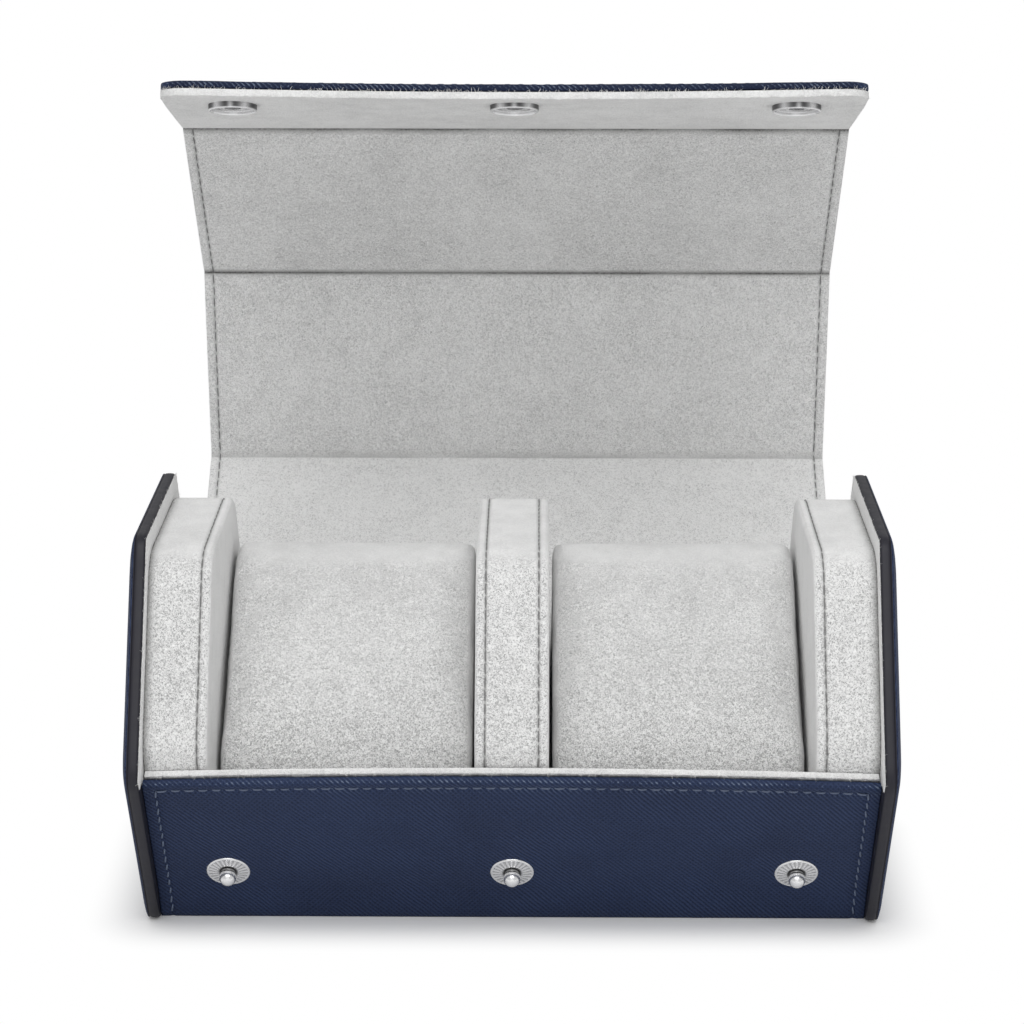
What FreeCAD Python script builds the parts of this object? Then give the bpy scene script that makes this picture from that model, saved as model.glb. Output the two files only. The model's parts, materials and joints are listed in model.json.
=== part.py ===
"""Two-watch travel case: a hexagonal leather body with a lid that folds over it and shuts with press studs.

Millimetres, +Z up, the front faces -Y. The origin is the middle of the underside.
"""

import FreeCAD
import Part
import Sketcher
import math
import os

# Driving sizes, by piece
SIZES = {
    # Body and end caps
    "hexagon_side": "56",
    "corner_radius": "2",
    "panel_width": "171",
    "panel_gap": "0.4",
    "front_set_in": "2.4",
    "back_set_in": "0.3",
    "end_lining_thickness": "0.5",
    "end_board_thickness": "2.4",
    "end_lining_set_in": "0.5",
    "end_band_thickness": "0.8",
    "end_dome_height": "2.1",
    "end_padding_set_in": "3",
    # Layers of the walls and the lid
    "leather_thickness": "1.1",
    "wall_board_thickness": "1.5",
    "lid_board_thickness": "1.3",
    "lining_thickness": "1",
    "leather_bend_radius": "0.9",
    "front_edge_clearance": "2.5",
    # Lid folds as the case stands open, from the vertical and from panel to panel
    "lid_lean": "54.5",
    "top_fold": "58",
    "front_fold": "35",
    "flap_fold": "33",
    "crease_clearance": "0.2",
    "flap_below_snaps": "12.7",
    "flap_corner_radius": "7",
    # Pads and divider
    "end_pad_thickness": "15",
    "divider_thickness": "17.3",
    "cover_thickness": "1.2",
    "cover_edge_radius": "0.9",
    "pad_clearance": "0.3",
    # Watch cushions
    "cushion_length": "77",
    "cushion_depth": "54.6",
    "cushion_corner_radius": "16",
    "cushion_face_radius": "105",
    "cushion_draw_in": "1.8",
    "cushion_tilt": "36.4",
    "cushion_side_clearance": "0.4",
    "cushion_seat_clearance": "0.3",
    "cushion_core_clearance": "0.2",
    # Press studs
    "snap_count": "3",
    "snap_from_side": "17.1",
    "stud_below_edge": "33.7",
    "stud_plate_diameter": "10.6",
    "stud_plate_thickness": "0.5",
    "stud_height": "4.2",
    "stud_head_diameter": "4.1",
    "stud_neck_diameter": "2.9",
    "rivet_diameter": "1.8",
    "rivet_flange_diameter": "9",
    "rivet_flange_thickness": "0.5",
    "socket_diameter": "11.8",
    "socket_height": "1.3",
    "socket_lip": "0.25",
    "socket_rim_width": "1.3",
    "socket_flange_thickness": "0.6",
    "snap_play": "0.3",
    "snap_clearance": "0.3",
    "snap_fit": "0.05",
    "snap_post_wall": "0.35",
    "snap_cap_diameter": "12.5",
    "snap_cap_height": "1.7",
    "snap_cap_web": "0.4",
    "snap_cap_rim": "0.4",
    "spring_wire_width": "0.4",
    "spring_grip": "0.06",
    "spring_gap_angle": "50",
}

# Sizes that follow from the driving ones
WORKED = {
    "apothem": "Sizes.hexagon_side * cos(30)",
    "wall_thickness": "Sizes.leather_thickness + Sizes.wall_board_thickness + Sizes.lining_thickness",
    "lid_thickness": "Sizes.leather_thickness + Sizes.lid_board_thickness + Sizes.lining_thickness",
    "board_depth": "Sizes.leather_thickness + Sizes.wall_board_thickness",
    "lid_board_depth": "Sizes.leather_thickness + Sizes.lid_board_thickness",
    "end_inner_x": "Sizes.panel_width / 2 + Sizes.panel_gap",
    "lid_inner_depth": "Sizes.back_set_in + lid_thickness",
    "pad_depth": "lid_inner_depth + Sizes.pad_clearance",
    # The front wall stops just under the closed lid's front panel
    "front_edge_drop": "(lid_inner_depth + Sizes.front_edge_clearance - Sizes.front_set_in / 2) / cos(30)",
    "snap_span": "Sizes.panel_width - 2 * Sizes.snap_from_side",
    # The closed flap stands off the front wall by the height of a shut press stud
    "snap_gap": "Sizes.stud_plate_thickness + Sizes.snap_play + Sizes.socket_height",
    "flap_standoff": "snap_gap + lid_thickness - Sizes.front_set_in",
    "flap_crease_drop": "(Sizes.back_set_in + flap_standoff / 2) / cos(30)",
    "stud_drop": "front_edge_drop + Sizes.stud_below_edge",
    "snap_reach": "stud_drop - flap_crease_drop",
    # Lid panels, each as long as its side of the closed hexagon
    "panel_length": "(apothem - Sizes.back_set_in) / cos(30)",
    "front_panel_length": "(apothem + flap_standoff) / cos(30)",
    "flap_length": "snap_reach + Sizes.flap_below_snaps",
    "back_lean": "Sizes.lid_lean",
    "top_lean": "back_lean - Sizes.top_fold",
    "front_lean": "top_lean - Sizes.front_fold",
    "flap_lean": "front_lean - Sizes.flap_fold",
    "back_y": "panel_length",
    "back_z": "apothem",
    "top_y": "back_y + panel_length * sin(back_lean)",
    "top_z": "back_z + panel_length * cos(back_lean)",
    "front_y": "top_y + panel_length * sin(top_lean)",
    "front_z": "top_z + panel_length * cos(top_lean)",
    "flap_y": "front_y + front_panel_length * sin(front_lean)",
    "flap_z": "front_z + front_panel_length * cos(front_lean)",
    "snap_y": "flap_y + snap_reach * sin(flap_lean)",
    "snap_z": "flap_z + snap_reach * cos(flap_lean)",
    # The bays lie between the end pads and the divider, and each cushion fills its bay
    "bay_inner_x": "Sizes.divider_thickness / 2",
    "bay_outer_x": "end_inner_x - Sizes.end_pad_thickness",
    "bay_middle_x": "(bay_inner_x + bay_outer_x) / 2",
    "cushion_width": "bay_outer_x - bay_inner_x - 2 * Sizes.cushion_side_clearance",
    # A cushion sits in the trough of the bottom and the back wall
    "cushion_flat_length": "Sizes.cushion_length / 2 - Sizes.cushion_corner_radius",
    "cushion_flat_depth": "Sizes.cushion_depth / 2 - Sizes.cushion_corner_radius",
    "cushion_reach_down": "cushion_flat_length * sin(Sizes.cushion_tilt)"
    " + cushion_flat_depth * cos(Sizes.cushion_tilt) + Sizes.cushion_corner_radius",
    "cushion_reach_back": "cushion_flat_length * cos(Sizes.cushion_tilt + 30)"
    " + cushion_flat_depth * sin(Sizes.cushion_tilt + 30) + Sizes.cushion_corner_radius",
    "cushion_z": "wall_thickness + Sizes.cushion_seat_clearance + cushion_reach_down",
    "cushion_back_distance": "apothem - Sizes.back_set_in - wall_thickness"
    " - Sizes.cushion_seat_clearance - cushion_reach_back",
    "cushion_y": "(cushion_back_distance + (cushion_z - apothem) * sin(30)) / cos(30)",
    # Radii of a press stud's parts, from its head outwards
    "head_radius": "Sizes.stud_head_diameter / 2",
    "neck_radius": "Sizes.stud_neck_diameter / 2",
    "rivet_radius": "Sizes.rivet_diameter / 2",
    "rivet_hole_radius": "rivet_radius + Sizes.snap_fit",
    "post_bore_radius": "head_radius + Sizes.snap_clearance",
    "post_radius": "post_bore_radius + Sizes.snap_post_wall",
    "post_hole_radius": "post_radius + Sizes.snap_fit",
    "lip_radius": "head_radius + Sizes.snap_clearance / 2",
    "spring_radius": "head_radius - Sizes.spring_grip + Sizes.spring_wire_width / 2",
    "groove_radius": "spring_radius + Sizes.spring_wire_width / 2 + Sizes.snap_clearance",
    "groove_height": "Sizes.spring_wire_width + Sizes.snap_fit * 2",
}

# Outward direction of each side of the hexagon, in degrees from +Y towards +Z
SIDE_ANGLES = {
    "bottom": 270,
    "front_lower": 210,
    "front_upper": 150,
    "top": 90,
    "back_upper": 30,
    "back_lower": 330,
}
FRONT_WALL_UP = 120
FRONT_WALL_TURN = 30
STUD_TURN = 120
CAP_TURN = 90
MITRE = "tan(30)"
ENDS = {"left": -1, "right": 1}
TOUCH = 1e-4

# Shares of the hexagon's side and of the dome's height, from an end cap's rim to its crown
DOME_STEPS = [(0, 0), (0.05, 0.35), (0.12, 0.65), (0.2, 0.85), (0.32, 1)]
# Shares of a cushion's half width
CUSHION_STATIONS = [-1, -0.985, -0.95, -0.85, 0.85, 0.95, 0.985, 1]

document = FreeCAD.newDocument("WatchCase")


def fill_sheet(name, cells, formula=""):
    """A sheet with one named cell for each entry."""
    sheet = document.addObject("Spreadsheet::Sheet", name)
    for row, (alias, content) in enumerate(cells.items(), start=1):
        sheet.set(f"A{row}", alias)
        sheet.set(f"B{row}", formula + content)
        sheet.setAlias(f"B{row}", alias)
    document.recompute()
    return sheet


def side(name, depth="0"):
    """The line of one hexagon side, moved inwards by a depth: its outward angle and its distance."""
    return SIDE_ANGLES[name], f"Worked.apothem - ({depth})"


def front_edge(drop):
    """The line across the front wall, a drop below the hexagon's widest corner."""
    return FRONT_WALL_UP, f"Sizes.hexagon_side / 2 - ({drop})"


def back_edge():
    """The level line where the back wall ends, under the lid's back crease."""
    return SIDE_ANGLES["top"], "-Sizes.crease_clearance"


def meet(first, second):
    """Where two lines cross, as a pair of expressions."""
    (angle_a, reach_a), (angle_b, reach_b) = first, second
    share = math.cos(math.radians(angle_a - angle_b))
    point = []
    for turn in (math.cos, math.sin):
        normal_a = turn(math.radians(angle_a))
        normal_b = turn(math.radians(angle_b))
        weight_a = (normal_a - share * normal_b) / (1 - share**2)
        weight_b = (normal_b - share * normal_a) / (1 - share**2)
        point.append(f"({reach_a}) * ({weight_a:.9f}) + ({reach_b}) * ({weight_b:.9f})")
    return tuple(point)


def rounded_hexagon(depth, radius):
    """Points of a hexagon with rounded corners, and the radius of each corner's arc."""
    points = []
    arcs = {}
    names = list(SIDE_ANGLES)[::-1]
    for index, name in enumerate(names):
        following = names[(index + 1) % len(names)]
        middle = meet(side(name, f"{depth} + {radius}"), side(following, f"{depth} + {radius}"))
        arcs[len(points)] = radius
        for angle in (SIDE_ANGLES[name], SIDE_ANGLES[following]):
            toward = (math.cos(math.radians(angle)), math.sin(math.radians(angle)))
            points.append(tuple(f"{m} + ({radius}) * ({u:.9f})" for m, u in zip(middle, toward)))
    return points, arcs


def new_body(label):
    body = document.addObject("PartDesign::Body", label)
    body.Label = label
    return body


def origin_feature(body, role):
    return next(feature for feature in body.Origin.OriginFeatures if feature.Role == role)


def new_sketch(body, plane, offset=None):
    """A sketch on one of the body's own planes, moved along the plane's normal by an offset."""
    sketch = body.newObject("Sketcher::SketchObject", f"{body.Name}_sketch")
    sketch.AttachmentSupport = [(origin_feature(body, plane), "")]
    sketch.MapMode = "FlatFace"
    if offset is not None:
        sketch.setExpression("AttachmentOffset.Base.z", offset)
    return sketch


def bind(sketch, kind, geometry, position, expression):
    """Fix one coordinate, or a radius where there is no position, to an expression."""
    value = float(sketch.evalExpression(expression))
    where = (geometry,) if position is None else (geometry, position)
    constraint = sketch.addConstraint(Sketcher.Constraint(kind, *where, value))
    sketch.setExpression(f"Constraints[{constraint}]", expression)


def draw_outline(sketch, points, arcs=None, hollow=()):
    """Draw a closed outline, anticlockwise, whose listed edges are arcs that bulge outwards, or inwards if hollow."""
    arcs = arcs or {}
    places = [FreeCAD.Vector(*(float(sketch.evalExpression(e)) for e in point), 0) for point in points]
    edges = []
    for index, start in enumerate(places):
        end = places[(index + 1) % len(places)]
        first, last = (2, 1) if index in hollow else (1, 2)
        if index in arcs:
            radius = float(sketch.evalExpression(arcs[index]))
            near, far = (end, start) if index in hollow else (start, end)
            chord = far - near
            to_centre = FreeCAD.Vector(-chord.y, chord.x, 0).normalize()
            centre = (near + far) / 2 + to_centre * math.sqrt(radius**2 - chord.Length**2 / 4)
            angles = [math.atan2((p - centre).y, (p - centre).x) for p in (near, far)]
            circle = Part.Circle(centre, FreeCAD.Vector(0, 0, 1), radius)
            edges.append((sketch.addGeometry(Part.ArcOfCircle(circle, *angles)), first, last))
        else:
            edges.append((sketch.addGeometry(Part.LineSegment(start, end)), first, last))
    for index, (edge, first, last) in enumerate(edges):
        following, meets, _ = edges[(index + 1) % len(edges)]
        sketch.addConstraint(Sketcher.Constraint("Coincident", edge, last, following, meets))
        bind(sketch, "DistanceX", edge, first, points[index][0])
        bind(sketch, "DistanceY", edge, first, points[index][1])
        if index in arcs:
            bind(sketch, "Radius", edge, None, arcs[index])


def draw_circle(sketch, across, up, radius):
    place = FreeCAD.Vector(*(float(sketch.evalExpression(e)) for e in (across, up)), 0)
    circle = sketch.addGeometry(Part.Circle(place, FreeCAD.Vector(0, 0, 1), 1))
    bind(sketch, "DistanceX", circle, 3, across)
    bind(sketch, "DistanceY", circle, 3, up)
    bind(sketch, "Radius", circle, None, radius)


def extrude(body, sketch, length, kind="PartDesign::Pad", both_ways=False, backwards=False):
    feature = body.newObject(kind, f"{body.Name}_extrusion")
    feature.Profile = sketch
    feature.SideType = "Symmetric" if both_ways else "One side"
    feature.Reversed = backwards
    feature.setExpression("Length", length)
    document.recompute()
    return feature


def turn_profile(body, sketch, angle="360"):
    """Turn a sketch of radius and height about the body's own Z axis."""
    feature = body.newObject("PartDesign::Revolution", f"{body.Name}_turned")
    feature.Profile = sketch
    feature.ReferenceAxis = (origin_feature(body, "Z_Axis"), [""])
    feature.setExpression("Angle", angle)
    document.recompute()
    return feature


def revolve(body, points, arcs=None):
    """A solid turned from an outline of radius and height."""
    sketch = new_sketch(body, "XZ_Plane")
    draw_outline(sketch, points, arcs)
    return turn_profile(body, sketch)


def repeat_along_x(body, feature):
    """Repeat a feature once for each press stud, from the left one to the right one."""
    pattern = body.newObject("PartDesign::LinearPattern", f"{body.Name}_row")
    pattern.Originals = [feature]
    pattern.Direction = (origin_feature(body, "X_Axis"), [""])
    pattern.setExpression("Length", "Worked.snap_span")
    pattern.setExpression("Occurrences", "Sizes.snap_count")
    body.Tip = pattern
    document.recompute()
    return pattern


def loft(body, sections, kind="PartDesign::AdditiveLoft"):
    feature = body.newObject(kind, f"{body.Name}_loft")
    feature.Profile = sections[0]
    feature.Sections = sections[1:]
    feature.Ruled = True
    document.recompute()
    return feature


def round_edges(body, feature, radius, chosen):
    """Round the edges of a feature that a test picks out."""
    names = [f"Edge{i}" for i, edge in enumerate(feature.Shape.Edges, start=1) if chosen(edge)]
    fillet = body.newObject("PartDesign::Fillet", f"{body.Name}_rounding")
    fillet.Base = (feature, names)
    fillet.setExpression("Radius", radius)
    document.recompute()
    return fillet


def place(body, x="0", y="0", z="0", turn="0"):
    """Place a body by expressions, turned about an axis along X."""
    body.Placement = FreeCAD.Placement(FreeCAD.Vector(), FreeCAD.Rotation(FreeCAD.Vector(1, 0, 0), 90))
    for axis, expression in zip("xyz", (x, y, z)):
        body.setExpression(f"Placement.Base.{axis}", expression)
    body.setExpression("Placement.Rotation.Angle", turn)
    document.recompute()


def wall_piece(label, points):
    """A piece of the body's walls: one outline across the case, as wide as the panels."""
    body = new_body(label)
    sketch = new_sketch(body, "YZ_Plane")
    draw_outline(sketch, points)
    extrude(body, sketch, "Sizes.panel_width", both_ways=True)
    place(body, z="Worked.apothem")
    return body


def bore_front_wall(body, depth, radius, length, outwards=False):
    """Bore a hole for each press stud square through the front wall, from a depth behind its face."""
    sketch = new_sketch(body, "XZ_Plane")
    reach = f"(Worked.apothem - ({depth}))"
    turn = FreeCAD.Rotation(FreeCAD.Vector(1, 0, 0), FRONT_WALL_TURN)
    sketch.AttachmentOffset = FreeCAD.Placement(FreeCAD.Vector(), turn)
    sketch.setExpression("AttachmentOffset.Base.y", f"-{reach} * sin({FRONT_WALL_TURN})")
    sketch.setExpression("AttachmentOffset.Base.z", f"{reach} * cos({FRONT_WALL_TURN})")
    draw_circle(sketch, "-Worked.snap_span / 2", "Sizes.hexagon_side / 2 - Worked.stud_drop", radius)
    hole = extrude(body, sketch, length, kind="PartDesign::Pocket", backwards=outwards)
    repeat_along_x(body, hole)


def body_leather():
    """One sheet folded round the boards, turned over the front wall's top edge."""
    skin = "Sizes.leather_thickness"
    front = side("front_lower", "Sizes.front_set_in")
    front_inner = side("front_lower", f"Sizes.front_set_in + {skin}")
    turned_end = side("front_lower", "Sizes.front_set_in + Worked.board_depth")
    back = side("back_lower", "Sizes.back_set_in")
    back_inner = side("back_lower", f"Sizes.back_set_in + {skin}")
    rim = front_edge("Worked.front_edge_drop")
    under_rim = front_edge(f"Worked.front_edge_drop + {skin}")
    folds = [meet(front, side("bottom")), meet(side("bottom"), back)]
    body = new_body("body_leather")
    sketch = new_sketch(body, "YZ_Plane")
    draw_outline(
        sketch,
        [
            meet(front, rim),
            *folds,
            meet(back, back_edge()),
            meet(back_inner, back_edge()),
            meet(side("bottom", skin), back_inner),
            meet(side("bottom", skin), front_inner),
            meet(front_inner, under_rim),
            meet(turned_end, under_rim),
            meet(turned_end, rim),
        ],
    )
    sheet = extrude(body, sketch, "Sizes.panel_width", both_ways=True)
    corners = [tuple(float(sketch.evalExpression(e)) for e in point) for point in [*folds, meet(front, rim)]]

    def is_fold(edge):
        middle = edge.CenterOfMass
        return any(math.dist((middle.y, middle.z), corner) < TOUCH for corner in corners)

    round_edges(body, sheet, "Sizes.leather_bend_radius", is_fold)
    bore_front_wall(body, "Sizes.front_set_in", "Worked.rivet_hole_radius", skin)
    place(body, z="Worked.apothem")
    return body


def body_boards():
    """The stiff boards of the bottom, the front wall and the back wall, between leather and lining."""
    skin = "Sizes.leather_thickness"
    under = side("bottom", skin)
    floor = side("bottom", "Worked.board_depth")
    front = side("front_lower", f"Sizes.front_set_in + {skin}")
    front_inner = side("front_lower", "Sizes.front_set_in + Worked.board_depth")
    back = side("back_lower", f"Sizes.back_set_in + {skin}")
    back_inner = side("back_lower", "Sizes.back_set_in + Worked.board_depth")
    rim = front_edge(f"Worked.front_edge_drop + {skin}")
    bottom = wall_piece(
        "bottom_board",
        [meet(under, front), meet(under, back), meet(floor, back), meet(floor, front)],
    )
    front_wall = wall_piece(
        "front_wall_board",
        [meet(front, floor), meet(front_inner, floor), meet(front_inner, rim), meet(front, rim)],
    )
    bore_front_wall(
        front_wall,
        f"Sizes.front_set_in + {skin}",
        "Worked.rivet_hole_radius",
        "Sizes.wall_board_thickness",
    )
    bore_front_wall(
        front_wall,
        "Sizes.front_set_in + Worked.board_depth",
        "Sizes.rivet_flange_diameter / 2 + Sizes.snap_fit",
        "Sizes.rivet_flange_thickness",
        outwards=True,
    )
    back_wall = wall_piece(
        "back_wall_board",
        [meet(back, floor), meet(back_inner, floor), meet(back_inner, back_edge()), meet(back, back_edge())],
    )
    return [bottom, front_wall, back_wall]


def body_lining():
    """One suede sheet over the inside of the bottom, the front wall and the back wall."""
    outer = "Worked.board_depth"
    inner = "Worked.wall_thickness"
    points = []
    for depth in (outer, inner):
        front = side("front_lower", f"Sizes.front_set_in + {depth}")
        back = side("back_lower", f"Sizes.back_set_in + {depth}")
        floor = side("bottom", depth)
        run = [
            meet(front, front_edge("Worked.front_edge_drop")),
            meet(front, floor),
            meet(floor, back),
            meet(back, back_edge()),
        ]
        points += run if depth == outer else run[::-1]
    return wall_piece("body_lining", points)


def end_layer(end, name, start, thickness, outlines):
    """A flat layer of an end cap, from a distance outside the bays outwards."""
    sign = ENDS[end]
    body = new_body(f"{end}_end_{name}")
    sketch = new_sketch(body, "YZ_Plane")
    for points, arcs in outlines:
        draw_outline(sketch, points, arcs)
    extrude(body, sketch, thickness, backwards=sign < 0)
    place(body, x=f"{sign} * ({start})", z="Worked.apothem")
    return body


def dome_sections(body, sign, outside):
    """Hexagons that shrink and rise from an end cap's rim, where the leather thins out, to its crown."""
    sections = []
    for inset, rise in DOME_STEPS:
        height = f"Sizes.end_dome_height * {rise}"
        depth = f"Sizes.end_padding_set_in + Sizes.hexagon_side * {inset}"
        if outside and rise:
            height += " + Sizes.leather_thickness"
        elif outside:
            depth = "0"
        radius = f"(Sizes.corner_radius + Sizes.hexagon_side * {inset / 2})"
        sketch = new_sketch(body, "YZ_Plane", f"{sign} * ({height})")
        draw_outline(sketch, *rounded_hexagon(depth, radius))
        sections.append(sketch)
    return sections


def end_cap(end):
    """An end cap from the inside out: lining, board in its edge band, padding and domed leather."""
    sign = ENDS[end]
    board_x = "Worked.end_inner_x + Sizes.end_lining_thickness"
    face_x = f"{board_x} + Sizes.end_board_thickness"
    rim = rounded_hexagon("0", "Sizes.corner_radius")
    board_rim = rounded_hexagon("Sizes.end_band_thickness", "(Sizes.corner_radius - Sizes.end_band_thickness)")
    lining_rim = rounded_hexagon("Sizes.end_lining_set_in", "(Sizes.corner_radius - Sizes.end_lining_set_in)")
    pieces = [
        end_layer(end, "lining", "Worked.end_inner_x", "Sizes.end_lining_thickness", [lining_rim]),
        end_layer(end, "board", board_x, "Sizes.end_board_thickness", [board_rim]),
        end_layer(end, "edge_band", board_x, "Sizes.end_board_thickness", [rim, board_rim]),
    ]
    padding = new_body(f"{end}_end_padding")
    loft(padding, dome_sections(padding, sign, outside=False))
    leather = new_body(f"{end}_end_leather")
    loft(leather, dome_sections(leather, sign, outside=True))
    loft(leather, dome_sections(leather, sign, outside=False), kind="PartDesign::SubtractiveLoft")
    for body in (padding, leather):
        place(body, x=f"{sign} * ({face_x})", z="Worked.apothem")
        pieces.append(body)
    return pieces


def block_outline(inset="0"):
    """Outline of an upholstered block: it fills the body and stays inside the closed lid."""
    depths = {
        "bottom": "Worked.wall_thickness",
        "front_lower": "Sizes.front_set_in + Worked.wall_thickness",
        "front_upper": "Worked.pad_depth",
        "top": "Worked.pad_depth",
        "back_upper": "Worked.pad_depth",
        "back_lower": "Sizes.back_set_in + Worked.wall_thickness",
    }
    lines = [side(name, f"{depth} + {inset}") for name, depth in depths.items()]
    return [meet(line, following) for line, following in zip(lines, lines[1:] + lines[:1])]


def block_piece(label, outlines, start, thickness, towards, rounded=False):
    """A slice of an upholstered block, from a place along X, with its far end's outer edges rounded."""
    body = new_body(label)
    sketch = new_sketch(body, "YZ_Plane")
    for points in outlines:
        draw_outline(sketch, points)
    feature = extrude(body, sketch, thickness, backwards=towards < 0)
    if rounded:
        far_end = max(feature.Shape.Faces, key=lambda face: towards * face.CenterOfMass.x)
        rim = far_end.OuterWire.Edges
        round_edges(body, feature, "Sizes.cover_edge_radius", lambda edge: any(edge.isSame(e) for e in rim))
    place(body, x=start, z="Worked.apothem")
    return body


def end_pad(end):
    """An end pad: foam core, side panel towards the bay, and a band round both."""
    sign = ENDS[end]
    cover = "Sizes.cover_thickness"
    root = f"{sign} * Worked.end_inner_x"
    face = f"{sign} * Worked.bay_outer_x"
    inner = block_outline(cover)
    return [
        block_piece(
            f"{end}_pad_band", [block_outline(), inner], root, "Sizes.end_pad_thickness", -sign, rounded=True
        ),
        block_piece(f"{end}_pad_core", [inner], root, f"Sizes.end_pad_thickness - {cover}", -sign),
        block_piece(f"{end}_pad_side", [inner], face, cover, sign),
    ]


def divider():
    """The centre divider: foam core, two side panels, and a band round all three."""
    cover = "Sizes.cover_thickness"
    inner = block_outline(cover)
    band = new_body("divider_band")
    sketch = new_sketch(band, "YZ_Plane")
    for points in (block_outline(), inner):
        draw_outline(sketch, points)
    ring = extrude(band, sketch, "Sizes.divider_thickness", both_ways=True)
    ends = [max(ring.Shape.Faces, key=lambda face: sign * face.CenterOfMass.x) for sign in ENDS.values()]
    rims = [edge for face in ends for edge in face.OuterWire.Edges]
    round_edges(band, ring, "Sizes.cover_edge_radius", lambda edge: any(edge.isSame(e) for e in rims))
    core = new_body("divider_core")
    sketch = new_sketch(core, "YZ_Plane")
    draw_outline(sketch, inner)
    extrude(core, sketch, f"Sizes.divider_thickness - 2 * {cover}", both_ways=True)
    for body in (band, core):
        place(body, z="Worked.apothem")
    sides = [
        block_piece(f"divider_{end}_side", [inner], f"{sign} * Worked.bay_inner_x", cover, -sign)
        for end, sign in ENDS.items()
    ]
    return [band, core, *sides]


def cushion_sections(body, inset, shorter):
    """Outlines of a cushion along its width: full in the middle and drawn in towards both ends."""
    sections = []
    along = "Worked.cushion_flat_length"
    across = "Worked.cushion_flat_depth"
    for share in CUSHION_STATIONS:
        drawn = f"({inset} + Sizes.cushion_draw_in * {share**14:.6f})"
        radius = f"(Sizes.cushion_corner_radius - {drawn})"
        sketch = new_sketch(body, "YZ_Plane", f"(Worked.cushion_width / 2 - {shorter}) * {share}")
        points = [
            (f"{along} + {radius}", f"-{across}"),
            (f"{along} + {radius}", across),
            (along, f"{across} + {radius}"),
            (f"-{along}", f"{across} + {radius}"),
            (f"-{along} - {radius}", across),
            (f"-{along} - {radius}", f"-{across}"),
            (f"-{along}", f"-{across} - {radius}"),
            (along, f"-{across} - {radius}"),
        ]
        arcs = {1: radius, 2: "Sizes.cushion_face_radius", 3: radius, 5: radius, 7: radius}
        draw_outline(sketch, points, arcs)
        sections.append(sketch)
    return sections


def cushion(end):
    """A watch cushion: a crowned suede cover with drawn-in ends, round a foam core."""
    thickness = "Sizes.cover_thickness"
    loose = f"({thickness} + Sizes.cushion_core_clearance)"
    cover = new_body(f"{end}_cushion_cover")
    loft(cover, cushion_sections(cover, "0", "0"))
    hollow = cushion_sections(cover, thickness, thickness)
    loft(cover, hollow, kind="PartDesign::SubtractiveLoft")
    core = new_body(f"{end}_cushion_core")
    loft(core, cushion_sections(core, loose, loose))
    for body in (cover, core):
        place(
            body,
            x=f"{ENDS[end]} * Worked.bay_middle_x",
            y="Worked.cushion_y",
            z="Worked.cushion_z",
            turn="Sizes.cushion_tilt",
        )
    return [cover, core]


def press_studs():
    """The press studs' posts on the front wall, and the rivets that hold them from behind the board."""
    head_z = "(Sizes.stud_height - Worked.head_radius)"
    plate_radius = "Sizes.stud_plate_diameter / 2"
    flange_radius = "Sizes.rivet_flange_diameter / 2"
    flange_top = "Sizes.rivet_flange_thickness - Worked.board_depth"
    posts = new_body("press_stud_posts")
    turned = revolve(
        posts,
        [
            ("Worked.rivet_hole_radius", "0"),
            (plate_radius, "0"),
            (plate_radius, "Sizes.stud_plate_thickness"),
            ("Worked.neck_radius", "Sizes.stud_plate_thickness"),
            ("Worked.neck_radius", f"{head_z} - sqrt(Worked.head_radius^2 - Worked.neck_radius^2)"),
            ("0", "Sizes.stud_height"),
            ("0", f"{head_z} + Sizes.snap_fit"),
            ("Worked.rivet_hole_radius", f"{head_z} + Sizes.snap_fit"),
        ],
        {4: "Worked.head_radius"},
    )
    repeat_along_x(posts, turned)
    rivets = new_body("press_stud_rivets")
    turned = revolve(
        rivets,
        [
            ("0", "-Worked.board_depth"),
            (flange_radius, "-Worked.board_depth"),
            (flange_radius, flange_top),
            ("Worked.rivet_radius", flange_top),
            ("Worked.rivet_radius", head_z),
            ("0", head_z),
        ],
    )
    repeat_along_x(rivets, turned)
    spot = meet(side("front_lower", "Sizes.front_set_in"), front_edge("Worked.stud_drop"))
    for body in (posts, rivets):
        place(
            body,
            x="-Worked.snap_span / 2",
            y=spot[0],
            z=f"Worked.apothem + {spot[1]}",
            turn=str(STUD_TURN),
        )
    return [posts, rivets]


def lid_layer(panel, name, outer, inner, length, far_end=None):
    """One layer of a lid panel, standing up from its crease, with mitred ends that meet when it shuts."""
    clear = "Sizes.crease_clearance"
    body = new_body(f"{panel}_{name}")
    sketch = new_sketch(body, "YZ_Plane")
    ends = far_end or [
        (f"-({depth})", f"{length} - {clear} - ({depth}) * {MITRE}") for depth in (inner, outer)
    ]
    draw_outline(
        sketch,
        [
            (f"-({outer})", f"{clear} + ({outer}) * {MITRE}"),
            (f"-({inner})", f"{clear} + ({inner}) * {MITRE}"),
            *ends,
        ],
    )
    extrude(body, sketch, "Sizes.panel_width", both_ways=True)
    return body


def place_on_lid(body, lean):
    place(body, y=f"Worked.{lean}_y", z=f"Worked.{lean}_z", turn=f"-Worked.{lean}_lean")


def lid_panel(lean, length):
    """A lid panel between two creases: leather, board and lining."""
    layers = {
        "leather": ("0", "Sizes.leather_thickness"),
        "board": ("Sizes.leather_thickness", "Worked.lid_board_depth"),
        "lining": ("Worked.lid_board_depth", "Worked.lid_thickness"),
    }
    bodies = [lid_layer(f"lid_{lean}", name, *depths, length) for name, depths in layers.items()]
    for body in bodies:
        place_on_lid(body, lean)
    return bodies


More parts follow.
